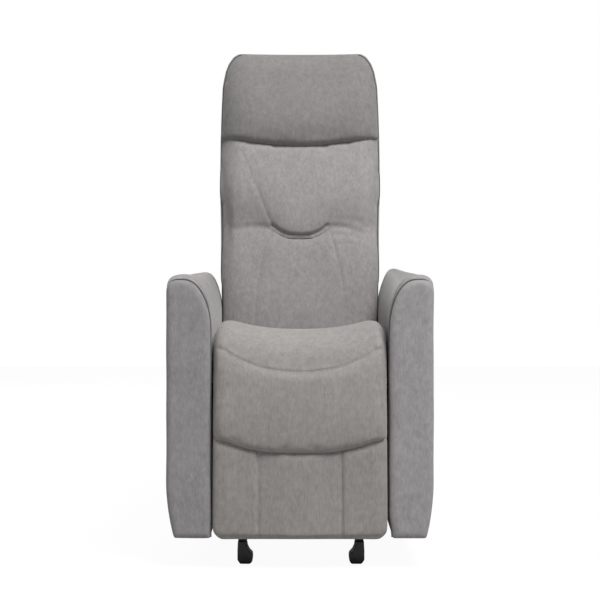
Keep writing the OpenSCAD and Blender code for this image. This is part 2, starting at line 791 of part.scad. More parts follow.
module cup_outline(grow) {
  translate([cup_y, cup_z]) round_rect(cup_l + 2*grow, cup_h + 2*grow, cup_corner_r + grow);
}
module arm(side) {
  color(fabric_colour) on_side(side) difference() {
    loft(arm_rings);
    arm_frame_shape(fit, over);
    for (p = arm_bolts_at) cross_bore(p, arm_in - over, arm_frame_x + over, bolt_r + pin_fit);
    if (side < 0) plate(arm_out - cup_d - fit, cup_d + fit + over) cup_outline(fit);
  }
}
module arm_bolts() {
  color(bright_colour) for (side = [-1, 1], p = arm_bolts_at) on_side(side) {
    cross_bore(p, plate_in_x, arm_frame_x + arm_ply_t, bolt_r);
    cross_bore(p, plate_in_x - bolt_head_t, plate_in_x, bolt_head_r);
  }
}
// The padded front panel: a tongue whose border rolls forward to a flat face
module arm_front_panel(side) {
  color(panel_colour) on_side(side) loft([
    for (k = [0:3]) let (i = arm_panel_edge*(1 - cos(edge_turns[k])))
      tongue(arm_front_y - fit - (arm_panel_t - fit)*sin(edge_turns[k]), i, arm_roll_over + i, 0),
    tongue(arm_front_y - fit, 0, arm_roll_over, 0),
  ]);
}

// The rear panel closes the body between the arms, and is a little wider where their rear edges draw in
rear_panel_inset = 3.3;
rear_panel_r = 14;
rear_panel_drop = 42;
arm_flat = max(0, arm_rear_r - rear_panel_inset - shell_wall);
arm_draw = arm_side_share*(arm_rear_r - sqrt(pow(arm_rear_r, 2) - pow(arm_flat, 2)));
module rear_panel() {
  w = 2*(arm_in + arm_draw - fit);
  h = pivot_z - rear_panel_drop - arm_z;
  color(fabric_colour) translate([0, arm_rear_y - rear_panel_inset, arm_z + h/2])
    rotate([90, 0, 0]) linear_extrude(shell_wall) round_rect(w, h, rear_panel_r);
}

// Release handle, in the outer side of the left arm

paddle_pin_wall = 1.5;
paddle_knuckle_r = paddle_pin_r + paddle_pin_wall;
paddle_pin = [arm_out - paddle_knuckle_r - run_gap, cup_z + cup_h/2 - cup_wall - paddle_knuckle_r - run_gap];
paddle_l = cup_l - 2*cup_corner_r;
module along_y(l) {
  translate([0, cup_y + l/2, 0]) rotate([90, 0, 0]) linear_extrude(l) children();
}
module release_cup() {
  color(black_colour) on_side(-1) difference() {
    plate(arm_out - cup_d, cup_d) cup_outline(0);
    plate(arm_out - cup_d + cup_wall, cup_d) cup_outline(-cup_wall);
    along_y(cup_l + 2*over) translate(paddle_pin) circle(r = paddle_pin_r + fit);
  }
}
module release_paddle() {
  foot = paddle_pin - [0, paddle_h - paddle_t];
  color(black_colour) on_side(-1) {
    along_y(paddle_l) {
      strap([paddle_pin, foot, foot - [paddle_t, paddle_t]], paddle_t);
      translate(paddle_pin) circle(r = paddle_knuckle_r);
    }
    along_y(cup_l - cup_wall) translate(paddle_pin) circle(r = paddle_pin_r);
  }
}

// Legrest, hanging under the seat's front

function tuck_z(u) = tuck_mid_z + tuck_rise*u*u;
function flap_top(u) = seam_z(u) - soft_gap;
function flap_low(u) = tuck_z(u) + tuck_gap/2;
function foot_top(u) = tuck_z(u) - tuck_gap/2;
function mix(a, b, share) = a + (b - a)*share;
function between(low, high, v) = mix(low, high, (v + 1)/2);

module flap_pad() {
  color(fabric_colour) pad(pad_shares, pad_shares,
    function (u, v, out) [u*leg_half, board_y - out, between(flap_low(u), flap_top(u), v)],
    function (u, v) pad_edge_t + (flap_pad_t - pad_edge_t)*puff(u)*puff(v));
}

// The lower pad's shares across take in both edges and the bottom of each sewn channel
seam_share = foot_seam_x/leg_half;
channel_share = 0.045;
foot_shares = both_ways([0, 0.2, seam_share - 2*channel_share, seam_share - channel_share, seam_share,
  seam_share + channel_share, seam_share + 3*channel_share, 0.78, 0.9, 0.97, 1]);
function near(a, b, reach) = max(0, 1 - abs(a - b)/reach);
module footrest_pad() {
  color(panel_colour) pad(foot_shares, pad_shares,
    function (u, v, out) [u*leg_half, board_y - out, between(leg_z, foot_top(u), v)],
    function (u, v) pad_edge_t + (foot_pad_t - pad_edge_t)*puff(u)*puff(v)
      - channel_t*near(abs(u), seam_share, channel_share)*puff(v));
}

// A board behind a pad, between two curved edges of it
board_shares = both_ways([0, 0.25, 0.5, 0.75, 1]);
module legrest_board(low, high) {
  half = leg_half - board_inset;
  color(wood_colour) translate([0, board_rear_y, 0]) rotate([90, 0, 0]) linear_extrude(board_t) polygon([
    for (u = board_shares) [u*half, low(u) + board_inset],
    for (u = board_shares) [-u*half, high(u) - board_inset],
  ]);
}
module flap_board() { legrest_board(function (u) flap_low(u), function (u) flap_top(u)); }
module footrest_board() { legrest_board(function (u) leg_z, function (u) foot_top(u)); }

// Butt hinges on the boards' rear faces: two thirds of each knuckle hang on the upper board
fold_hinge_x = 60;
leaf_t = 2;
leaf_h = 46;
hinge_pin_r = 1.8;
module hinge_part(x, l, way) {
  translate([0, board_rear_y, fold_hinge[1] + (way > 0 ? 0 : -leaf_h)]) translate([x, 0, 0])
    cube([l, leaf_t, leaf_h]);
  cross_bore(fold_hinge, x, x + l, knuckle_r);
}
module hinge_set(way) {
  third = knuckle_l/3;
  x0 = fold_hinge_x - knuckle_l/2;
  for (side = [-1, 1]) on_side(side) {
    if (way > 0) {
      difference() {
        union() {
          hinge_part(x0, third, way);
          hinge_part(x0 + 2*third, third, way);
          translate([x0, board_rear_y, fold_hinge[1] + 2*knuckle_r]) cube([knuckle_l, leaf_t, leaf_h - 2*knuckle_r]);
        }
        cross_bore(fold_hinge, x0 + third - run_gap/2, x0 + 2*third + run_gap/2, knuckle_r);
      }
      cross_bore(fold_hinge, x0, x0 + knuckle_l, hinge_pin_r);
    } else difference() {
      union() {
        hinge_part(x0 + third + run_gap/2, third - run_gap, way);
        translate([x0, board_rear_y, fold_hinge[1] - leaf_h])
          cube([knuckle_l, leaf_t, leaf_h - 2*knuckle_r]);
      }
      cross_bore(fold_hinge, x0, x0 + knuckle_l, hinge_pin_r + fit);
    }
  }
}
module flap_hinges() { color(bright_colour) hinge_set(1); }
module footrest_hinges() { color(bright_colour) hinge_set(-1); }

bracket_foot_h = 52;
bracket_drop = 64;
bracket_web = 8;
module footrest_brackets() {
  low = foot_pin_z - bracket_drop;
  color(steel_colour) for (side = [-1, 1]) on_side(side) difference() {
    plate(bracket_x, steel_t) {
      translate(foot_pin) circle(r = link_w/2);
      polygon([
        [board_rear_y, low], [board_rear_y + bracket_web, low],
        foot_pin + [link_w/2 - strap_relief, 0], foot_pin, [board_rear_y, low + bracket_foot_h]]);
    }
    cross_bore(foot_pin, bracket_x - over, bracket_x + steel_t + over, rivet_r + pin_fit);
  }
}

// Back: every piece is drawn upright about the pivot and then leans with the rake

module lean() {
  translate([0, pivot_y, pivot_z]) rotate([-rake, 0, 0]) children();
}

post_foot_h = plate_arm_w/2 + 2*soft_gap;
post_top_h = shell_top_h - back_corner_r;
back_rail_w = 30;
mid_rail_h = 380;
module back_frame() {
  bars = [[post_foot_h, back_bracket_x], [mid_rail_h, post_x], [post_top_h - back_rail_w, post_x]];
  color(wood_colour) lean() {
    for (x = [-post_x - back_post_w, post_x]) translate([x, 0, post_foot_h])
      cube([back_post_w, back_frame_t, post_top_h - post_foot_h]);
    for (b = bars) translate([-b[1], 0, b[0]]) cube([2*b[1], back_frame_t, back_rail_w]);
  }
}
module back_springs() {
  h0 = post_foot_h + back_rail_w/2;
  pitch = 2*post_x/(back_zigs + 1);
  color(bright_colour) lean() for (i = [0:back_zigs - 1])
    translate([(i - (back_zigs - 1)/2)*pitch, 0, h0]) rotate([90, 0, 0])
      linear_extrude(zig_wire) zigzag(post_top_h - back_rail_w/2 - h0, back_zig_bars);
}
bracket_l = 190;
bracket_w = 32;
module back_brackets() {
  color(steel_colour) lean() for (side = [-1, 1]) on_side(side) difference() {
    plate(back_bracket_x, steel_t) {
      strap([[0, 0], [back_frame_t/2, post_foot_h + bracket_w], [back_frame_t/2, bracket_l]], bracket_w);
    }
    cross_bore([0, 0], back_bracket_x - over, back_bracket_x + steel_t + over, rivet_r + fit);
  }
}

shell_foot_h = -24;
module shell_outline(low_half, high_half, foot_h, top_h, r) {
  translate([-low_half, foot_h]) square([2*low_half, shoulder_h - foot_h]);
  translate([-high_half, shoulder_h]) square([2*high_half, top_h - r - shoulder_h]);
  translate([-high_half + r, shoulder_h]) square([2*(high_half - r), top_h - shoulder_h]);
  for (way = [-1, 1]) translate([way*(high_half - r), top_h - r]) circle(r = r);
}
module back_shell() {
  pocket_half = post_x + back_post_w + fit;
  color(fabric_colour) lean() difference() {
    translate([0, shell_t, 0]) rotate([90, 0, 0]) linear_extrude(shell_t)
      shell_outline(back_low_half, back_high_half, shell_foot_h, shell_top_h, back_corner_r);
    translate([-pocket_half, -over, shell_foot_h - over])
      cube([2*pocket_half, shell_t - shell_wall + over, post_top_h - shell_foot_h + over + fit]);
  }
}

// Half the width of the cushions at a height along the back, and of the sewn shield on them
shoulder_run = 110;
low_gap = 2;
function ease(share) = let (s = min(1, max(0, share))) s*s*(3 - 2*s);
function wide(h) = mix(back_low_half - low_gap, cushion_half, ease((h - shoulder_h + fit)/shoulder_run));
shield_foot_run = 155;
shield_full_share = 0.77;
shield_curve_share = 1.6;
function shield(h) = h < shield_waist_h
  ? mix(shield_waist, shield_foot, sin(90*min(1, (shield_waist_h - h)/shield_foot_run)))
  : mix(shield_waist, shield_top, pow(min(1,
      (h - shield_waist_h)/(head_seam_h - shield_waist_h)/shield_full_share), shield_curve_share));
function head_seam(u) = head_seam_h - head_smile*(1 - u*u);

waist_share = 2*(shield_waist_h - back_cushion_h)/(head_seam_h - back_cushion_h) - 1;
waist_reach_share = 0.3;
groove_reach_share = 0.1;
half_share = 0.5;
groove_floor_share = 0.07;
back_us_shares = both_ways([0, 0.18, 0.34, 0.43, 0.5, 0.57, 0.66, 0.8, 0.92, 0.98, 1]);
back_vs_shares = [-1, -0.97, -0.9, -0.75, -0.5, -0.25, 0, waist_share - 0.07, waist_share, waist_share + 0.07,
  0.42, 0.58, 0.74, 0.87, 0.96, 1];
function back_h(u, v) = between(back_cushion_h, head_seam(u) - fit, v)
  - (abs(u) < half_share ? shield_hang*(1 - 4*u*u)*near(v, waist_share, waist_reach_share) : 0);
function back_x(u, h) = abs(u) <= half_share ? 2*u*shield(h)
  : sign(u)*mix(shield(h), wide(h), 2*abs(u) - 1);
function back_groove(u, v) = shield_t*puff(v)*max(
  near(abs(u), half_share, groove_reach_share),
  abs(u) < half_share ? near(v, waist_share, groove_reach_share) : 0);
module back_cushion() {
  full = back_cushion_t - zig_rest;
  color(fabric_colour) lean() pad(back_us_shares, back_vs_shares,
    function (u, v, out) let (h = back_h(u, v)) [back_x(u, h), -zig_rest - out, h],
    function (u, v) back_edge_t + (full - back_edge_t)*puff(u)*puff(v) - back_groove(u, v));
}

head_corner_share = 0.76;
head_corner_h = 86;
head_sides_share = 0.8;
head_narrowing = 7;
function head_corner(u) = let (c = max(0, (abs(u) - head_corner_share)/(1 - head_corner_share)))
  head_corner_h*(1 - sqrt(1 - c*c));
function head_base(v) = mix(head_edge_t, head_top_t, pow((v + 1)/2, 2));
module head_pillow() {
  crown = head_t - head_base(0);
  color(fabric_colour) lean() pad(pad_shares, pad_shares,
    function (u, v, out) [
      u*(cushion_half - head_narrowing*(v + 1)/2), -zig_rest - out,
      between(head_seam(u), head_top_h - head_corner(u), v)],
    function (u, v) head_base(v)*mix(head_sides_share, 1, puff(u)) + crown*puff(u)*puff(v));
}

base_rail(-1);  // base_rail_left
base_rail(1);  // base_rail_right
base_cross_tubes();
floor_glides();
coil_seats_lower();
rocker_springs();
rocker_cam(-1);  // rocker_cam_left
rocker_cam(1);  // rocker_cam_right
cam_bolts();
coil_seats_upper();
mechanism_plate(-1);  // mechanism_plate_left
mechanism_plate(1);  // mechanism_plate_right
plate_rivets();
seat_rail(front_rail_y, plate_out_x, front_rail_h);  // seat_front_rail
seat_rail(rear_rail_y, plate_in_x, seat_rail_h);  // seat_rear_rail
seat_side_rail(-1);  // seat_side_rail_left
seat_side_rail(1);  // seat_side_rail_right
seat_springs();
seat_cushion();
arm_frame(-1);  // arm_frame_left
arm_frame(1);  // arm_frame_right
arm(-1);  // arm_left
arm(1);  // arm_right
arm_front_panel(-1);  // arm_front_panel_left
arm_front_panel(1);  // arm_front_panel_right
arm_bolts();
rear_panel();
release_cup();
release_paddle();
drive_link(-1);  // drive_link_left
drive_link(1);  // drive_link_right
torque_tube();
knee_rivets();
extension_link(-1);  // extension_link_left
extension_link(1);  // extension_link_right
control_rivets();
control_link(-1);  // control_link_left
control_link(1);  // control_link_right
flap_board();
flap_pad();
flap_hinges();
footrest_board();
footrest_pad();
footrest_brackets();
footrest_hinges();
footrest_rivets();
back_frame();
back_springs();
back_brackets();
back_cushion();
head_pillow();
back_shell();
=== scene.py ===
# %% [markdown]
# A rocker recliner, dressed over its construction. The frame holds every steel link, wooden rail
# and plain soft block at its real place, with the front of the chair towards -Y. The lesson adds
# what a workshop adds last: foam, cloth, seams, piping and finishes. All sizes are in metres. They
# are read from the frame where a piece has to fit, and named where they are a choice.

# %% Load the frame
import json
import math

import bmesh
import bpy
import numpy as np
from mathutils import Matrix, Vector
from mathutils.bvhtree import BVHTree


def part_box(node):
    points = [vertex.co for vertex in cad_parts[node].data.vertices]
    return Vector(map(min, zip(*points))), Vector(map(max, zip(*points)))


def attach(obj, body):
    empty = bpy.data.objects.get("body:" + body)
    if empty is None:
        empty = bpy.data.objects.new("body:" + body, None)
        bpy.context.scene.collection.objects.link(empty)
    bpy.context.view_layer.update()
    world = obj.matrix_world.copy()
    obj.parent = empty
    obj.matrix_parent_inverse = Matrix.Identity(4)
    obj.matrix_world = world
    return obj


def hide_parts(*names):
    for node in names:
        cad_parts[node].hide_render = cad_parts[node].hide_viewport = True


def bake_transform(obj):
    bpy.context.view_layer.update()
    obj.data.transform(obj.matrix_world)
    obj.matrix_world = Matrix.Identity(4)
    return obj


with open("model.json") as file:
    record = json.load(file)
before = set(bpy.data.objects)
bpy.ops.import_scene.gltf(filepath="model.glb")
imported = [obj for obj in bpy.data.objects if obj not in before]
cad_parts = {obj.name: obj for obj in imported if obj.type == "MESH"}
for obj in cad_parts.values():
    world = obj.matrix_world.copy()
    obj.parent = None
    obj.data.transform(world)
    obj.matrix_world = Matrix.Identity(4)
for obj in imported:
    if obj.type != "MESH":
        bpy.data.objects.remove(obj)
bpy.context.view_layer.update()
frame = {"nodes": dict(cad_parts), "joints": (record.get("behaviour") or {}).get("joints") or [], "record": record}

scene = bpy.context.scene
joints = {joint["name"]: joint for joint in frame["joints"]}

# %% [markdown]
# The camera stands where the photographer stood: level, a little above the arms, almost four
# metres in front of them. A long lens keeps the tall back from leaning. The lens is shifted
# down instead of tilting the camera, so upright edges stay upright in the picture.

# %% Camera
CAMERA_PLACE = (0.0, -4.18, 0.694)
LENS_MM, SENSOR_MM = 106.7, 36
HORIZON_SHIFT = -0.0917

camera_data = bpy.data.cameras.new("camera")
camera_data.lens = LENS_MM
camera_data.sensor_width = SENSOR_MM
camera_data.shift_y = HORIZON_SHIFT
camera = bpy.data.objects.new("camera", camera_data)
camera.location = CAMERA_PLACE
camera.rotation_euler = (math.radians(90), 0, 0)
scene.collection.objects.link(camera)
scene.camera = camera
print("camera", LENS_MM, "mm lens at", CAMERA_PLACE)

# %% [markdown]
# Shader sums read best as sums. `Wire` wraps one output socket and adds a Math node for each
# plus and times, and `Finish.node` adds any other node: its type, its settings, then the values
# or links of its sockets in order or by name. Every finish below is built with these two.

# %% Shader helpers
class Wire:
    """An output socket that can be added and multiplied."""

    def __init__(self, finish, socket):
        self.finish = finish
        self.socket = socket

    def __add__(self, other):
        return self.finish.node("Math", {"operation": "ADD"}, self, other)

    def __mul__(self, other):
        return self.finish.node("Math", {"operation": "MULTIPLY"}, self, other)


class Finish:
    """The shader of one new material, or of a new world, built node by node."""

    def __init__(self, name, library=bpy.data.materials):
        self.owner = library.new(name)
        self.owner.use_nodes = True
        self.tree = self.owner.node_tree
        self.tree.nodes.clear()

    def node(self, kind, settings, *values, output=0, **named):
        made = self.tree.nodes.new("ShaderNode" + kind)
        for key, value in settings.items():
            setattr(made, key, value)
        pairs = list(enumerate(values))
        pairs += [(key.replace("_", " "), value) for key, value in named.items()]
        for key, value in pairs:
            if isinstance(value, Wire):
                self.tree.links.new(value.socket, made.inputs[key])
            elif value is not None:
                made.inputs[key].default_value = value
        return Wire(self, made.outputs[output] if made.outputs else None)

    def place(self, scale=(1, 1, 1)):
        """The piece's own coordinates, in metres, stretched."""
        coords = self.node("TexCoord", {}, output="Object")
        return self.node("Mapping", {}, coords, Scale=scale)

    def noise(self, place, scale, detail=2.0, roughness=0.5):
        return self.node("TexNoise", {}, Vector=place, Scale=scale, Detail=detail, Roughness=roughness)

    def spread(self, value, low, high, new_low=0.0, new_high=1.0):
        """The value's range from low to high, spread over a new range and clamped."""
        return self.node("MapRange", {"clamp": True}, value, low, high, new_low, new_high)

    def mix(self, share, a, b):
        """A colour between a and b. A Mix node takes colours at its inputs 6 and 7."""
        return self.node("Mix", {"data_type": "RGBA"}, share, *[None]*5, a, b, output=2)

    def close(self, bump=None, strength=0.5, distance=0.001, **named):
        """The surface: a Principled shader, its bump and its output. Returns the material."""
        if bump is not None:
            named["Normal"] = self.node("Bump", {}, Strength=strength, Distance=distance, Height=bump)
        self.node("OutputMaterial", {}, Surface=self.node("BsdfPrincipled", {}, **named))
        return self.owner


def colour(hex_code):
    """A screen colour such as 9b9998 as linear light."""
    parts = [int(hex_code[i:i + 2], 16)/255 for i in (0, 2, 4)]
    linear = [c/12.92 if c <= 0.04045 else ((c + 0.055)/1.055)**2.4 for c in parts]
    return (*linear, 1.0)


print("shader helpers ready")

# %% [markdown]
# The cover is a brushed microfibre. Up close its short pile stands in soft vertical strokes, and
# from a step away the pile lies in cloudy patches where hands have passed. Four noises give that,
# counted per metre: clouds as wide as a hand, patches of a centimetre, strokes of three
# millimetres that run down the cloth, and a grain of one millimetre. Strokes and grain also feed
# the bump. The front panel at +X gets a lighter copy of its cloth, painted light where the key
# light falls more strongly from that side, and the head pillow a darker copy, painted shade.

# %% Brushed fabric
CLOUDS, PATCHES, STROKES, GRAIN = 9, 85, 330, 1100
PILE_DEPTH = 0.0008


def brushed_fabric(name, dark, light, along=(1, 1, 0.28)):
    f = Finish(name)
    clouds = f.noise(f.place(), CLOUDS, 3, 0.55)
    patches = f.noise(f.place((1, 1, 0.7)), PATCHES, 4, 0.62)
    strokes = f.noise(f.place(along), STROKES, 3, 0.6)
    grain = f.noise(f.place((1, 1, 0.6)), GRAIN, 2, 0.6)
    tone = (f.spread(clouds, 0.3, 0.7)*0.14 + f.spread(patches, 0.28, 0.72)*0.36
            + f.spread(strokes, 0.3, 0.7)*0.30 + f.spread(grain, 0.3, 0.7)*0.2)
    pile = f.spread(strokes, 0.25, 0.75)*0.55 + f.spread(grain, 0.25, 0.75)*0.6
    return f.close(
        bump=pile, strength=0.32, distance=PILE_DEPTH,
        Base_Color=f.mix(tone, colour(dark), colour(light)),
        Roughness=f.spread(patches, 0.3, 0.7, 0.86, 0.97),
        Sheen_Weight=0.28, Sheen_Roughness=0.45, Specular_IOR_Level=0.12)


fabric = brushed_fabric("brushed_grey", "7f7c7c", "aeabaa")
# A darker copy of the cloth for the head pillow: painted shade, for a pillow that faces the key light less.
shaded_pillow_fabric = brushed_fabric("brushed_grey_pillow_painted_shade", "6d6a6a", "979493")
panel_fabric = brushed_fabric("brushed_grey_arm_front", "7b7879", "a6a3a4")
# A lighter copy of the front panel cloth for the panel at +X: painted light, where the key light from that side
# falls more strongly.
lit_right_panel_fabric = brushed_fabric("brushed_grey_right_front_painted_light", "858283", "b3b0b1")
legrest_fabric = brushed_fabric("brushed_grey_legrest", "807c79", "aca8a5", (1, 1, 0.2))
print("fabrics", fabric.name, panel_fabric.name, legrest_fabric.name)

# %% [markdown]
# Sewing thread is twisted, so it is smoother and a little lighter than the pile round it. Piping
# is a cord wrapped in the cover's cloth, coloured darker as painted shade for the grooves it lies in.

# %% Thread and piping
def thread_finish():
    f = Finish("thread")
    twist = f.noise(f.place(), 1800, 1)
    return f.close(Base_Color=f.mix(twist, colour("9a9694"), colour("c2bebb")),
                   Roughness=f.spread(twist, 0.3, 0.7, 0.5, 0.7))


# The cords are real; their dark colour is painted shade for the grooves beside them.
def piping_dark_for_shade_finish():
    f = Finish("piping_dark_for_shade")
    pile = f.noise(f.place(), 900, 3, 0.6)
    return f.close(bump=pile, strength=0.3, distance=0.0005,
                   Base_Color=f.mix(pile, colour("4a4948"), colour("6b6968")),
                   Roughness=f.spread(pile, 0.3, 0.7, 0.8, 0.95))


thread = thread_finish()
piping_dark_for_shade = piping_dark_for_shade_finish()
print("trims", thread.name, piping_dark_for_shade.name)

# %% [markdown]
# The rest of the chair is plain workshop stock. Timber shows long grain with late-wood lines,
# sawn and unvarnished. Painted steel is a satin powder coat with its fine orange peel. Zinc plate
# on rivets and hinges has pale crystals, spring wire is oil-tempered and bluish, and the moulded
# feet and handle have a fine leathery grain.

# %% Workshop finishes
def timber_finish():
    f = Finish("sawn_timber")
    wander = f.noise(f.place(), 6, 2)
    lines = f.node("TexWave", {"wave_type": "BANDS", "bands_direction": "Z"},
                   Vector=f.place((0.6, 0.25, 1)), Scale=42, Distortion=3.5, Detail=2, Detail_Scale=1.6)
    fibres = f.noise(f.place((2, 0.08, 2)), 700, 2, 0.6)
    tone = f.spread(lines, 0.2, 0.9)*0.45 + fibres*0.35 + wander*0.25
    return f.close(bump=fibres, strength=0.25, distance=0.0004,
                   Base_Color=f.mix(tone, colour("e0bf8d"), colour("a9794a")),
                   Roughness=f.spread(fibres, 0.3, 0.7, 0.62, 0.82))


def coated_steel():
    f = Finish("black_powder_coat")
    peel = f.noise(f.place(), 750, 2)
    dust = f.noise(f.place(), 24, 4, 0.6)
    return f.close(bump=peel, strength=0.18, distance=0.0003,
                   Base_Color=f.mix(f.spread(dust, 0.35, 0.75), colour("161618"), colour("29292b")),
                   Roughness=f.spread(dust, 0.3, 0.7, 0.34, 0.5), Coat_Weight=0.15)


def plated_steel(name, dark, light, low, high):
    f = Finish(name)
    crystals = f.node("TexVoronoi", {}, Vector=f.place(), Scale=520)
    smear = f.noise(f.place(), 60, 3)
    tone = f.spread(crystals, 0.0, 0.7)*0.6 + smear*0.4
    return f.close(bump=crystals, strength=0.08, distance=0.0002,
                   Base_Color=f.mix(tone, colour(light), colour(dark)),
                   Metallic=f.spread(smear, 0.0, 1.0, 0.9, 1.0),
                   Roughness=f.spread(smear, 0.3, 0.7, low, high))


def moulded_plastic():
    f = Finish("moulded_black")
    grain = f.node("TexVoronoi", {}, Vector=f.place(), Scale=1300)
    scuffs = f.noise(f.place((1, 1, 5)), 70, 4, 0.65)
    return f.close(bump=grain, strength=0.12, distance=0.0003,
                   Base_Color=f.mix(f.spread(scuffs, 0.5, 0.8), colour("121213"), colour("222224")),
                   Roughness=f.spread(scuffs, 0.3, 0.75, 0.38, 0.58))


finishes = {
    "timber": timber_finish(),
    "black_steel": coated_steel(),
    "bright_steel": plated_steel("zinc_plate", "8d9095", "c6c9cd", 0.26, 0.42),
    "spring_wire": plated_steel("tempered_wire", "4c5058", "777c85", 0.3, 0.46),
    "black_plastic": moulded_plastic(),
    "upholstery": fabric,
    "panel_fabric": panel_fabric,
}
slot_of = {part["node"]: part["material_slot"] for part in frame["record"]["subparts"]}
for name, node in frame["nodes"].items():
    node.data.materials.clear()
    node.data.materials.append(finishes[slot_of[name]])
print("finished", len(slot_of), "nodes of the frame")

# %% [markdown]
# Soft pieces start as rough closed shapes and are refined in the same few steps: an even skin of
# small squares (a voxel remesh), air pressure that fills it out, and a last subdivision. The
# helpers below do one step each, so that each cushion can be read as a short recipe.

# %% Mesh helpers
def rows(*columns):
    """Points from their coordinates, each an array or one number for all."""
    return np.stack(np.broadcast_arrays(*columns), axis=-1).astype(float)


def box_of(name):
    """The lowest and highest corner of a piece of the frame."""
    return (np.array(corner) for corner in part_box(name))


def face_outward(mesh):
    """Merges doubles and turns the normals outward."""
    work = bmesh.new()
    work.from_mesh(mesh)
    bmesh.ops.remove_doubles(work, verts=work.verts, dist=1e-6)
    bmesh.ops.recalc_face_normals(work, faces=work.faces)
    work.to_mesh(mesh)
    work.free()


def add_object(name, verts, faces):
    """A mesh object with doubles merged, normals outward and smooth faces."""
    mesh = bpy.data.meshes.new(name)
    mesh.from_pydata([tuple(map(float, v)) for v in verts], [], [tuple(f) for f in faces])
    face_outward(mesh)
    mesh.shade_smooth()
    made = bpy.data.objects.new(name, mesh)
    scene.collection.objects.link(made)
    return made


def prism(first, last):
    """Vertices and faces between two equal outlines, closed at both ends."""
    n = len(first)
    faces = [tuple(range(n)), tuple(range(n, 2*n))]
    faces += [(i, (i + 1) % n, n + (i + 1) % n, n + i) for i in range(n)]
    return [*first, *last], faces


def vectors(items, field):
    """Three numbers from each item of a mesh, as rows."""
    out = np.empty(len(items)*3, np.float32)
    items.foreach_get(field, out)
    return out.reshape(-1, 3).astype(float)


def points_of(piece):
    return vectors(piece.data.vertices, "co")


def normals_of(piece):
    return vectors(piece.data.vertex_normals, "vector")


def set_points(piece, co):
    piece.data.vertices.foreach_set("co", co.astype(np.float32).ravel())
    piece.data.update()


def bake(piece):
    """Turns a piece's modifiers into its mesh."""
    depsgraph = bpy.context.evaluated_depsgraph_get()
    mesh = bpy.data.meshes.new_from_object(piece.evaluated_get(depsgraph), depsgraph=depsgraph)
    piece.modifiers.clear()
    piece.data = mesh
    mesh.shade_smooth()
    return piece


def even_skin(piece, voxel, rounds):
    """Covers a closed shape with an even skin of squares, and softens it a little."""
    remesh = piece.modifiers.new("skin", "REMESH")
    remesh.mode = "VOXEL"
    remesh.voxel_size = voxel
    smooth = piece.modifiers.new("soften", "SMOOTH")
    smooth.factor = 0.5
    smooth.iterations = rounds
    return bake(piece)


def subdivide(piece):
    finer = piece.modifiers.new("finer", "SUBSURF")
    finer.levels = finer.render_levels = 1
    return bake(piece)


def closed_pad(name, front, back):
    """A closed shape between two grids of points, with walls along their four edges."""
    n, m = front.shape[:2]
    index = np.arange(n*m).reshape(n, m)
    other = index + n*m
    faces = [(index[i, j], index[i + 1, j], index[i + 1, j + 1], index[i, j + 1])
             for i in range(n - 1) for j in range(m - 1)]
    faces += [tuple(other.ravel()[list(f)][::-1]) for f in faces]
    rim = ([(i, 0) for i in range(n)] + [(n - 1, j) for j in range(1, m)]
           + [(i, m - 1) for i in range(n - 2, -1, -1)] + [(0, j) for j in range(m - 2, 0, -1)])
    for a, b in zip(rim, rim[1:] + rim[:1]):
        faces.append((index[a], index[b], other[b], other[a]))
    return add_object(name, np.concatenate([front.reshape(-1, 3), back.reshape(-1, 3)]), faces)


def ease(t):
    """0 before 0, 1 after 1, and a soft step between."""
    t = np.clip(t, 0, 1)
    return t*t*(3 - 2*t)


def quadratic(a, b, c, steps):
    """Points of a quadratic curve from a to c, pulled towards b."""
    t = np.linspace(0, 1, steps)[:, None]
    return (1 - t)**2*np.array(a) + 2*t*(1 - t)*np.array(b) + t*t*np.array(c)


def mirror(path):
    """A flat path's mirror image, walked the other way."""
    return path[::-1]*(-1, 1)


def even_steps(path, count, closed=False):
    """A path with its points set at even steps along it."""
    path = np.asarray(path, float)
    if closed:
        path = np.vstack([path, path[:1]])
    steps = np.linalg.norm(np.diff(path, axis=0), axis=1)
    path = path[np.concatenate([[True], steps > 1e-9])]
    along = np.concatenate([[0], np.cumsum(steps[steps > 1e-9])])
    at = np.linspace(0, along[-1], count, endpoint=not closed)
    return np.stack([np.interp(at, along, path[:, k]) for k in range(path.shape[1])], axis=1)


def distance_to(path, points, batch=4000):
    """Each point's distance to a path of close points."""
    best = [np.linalg.norm(points[i:i + batch, None, :] - path[None, :, :], axis=2).min(1)
            for i in range(0, len(points), batch)]
    return np.concatenate(best)


print("mesh helpers ready")

# %% [markdown]
# Foam pushes a cover out until its seams hold it. The cloth simulation does the same: pressure
# inside, no gravity, twenty frames, and a cap on how far any point may travel so that the piece
# keeps its place between its neighbours.

# %% Air pressure
FRAMES, CLOTH_STEPS, STRETCH, BENDING = 20, 5, 18, 1.2
SINK, SLIDE, SLIDE_SHARE = 0.0015, 0.004, 0.3
WAVES = [((17, 31, 23), 0.4), ((-41, 13, 29), 2.1), ((23, -37, 47), 3.9), ((61, 19, -33), 5.2)]


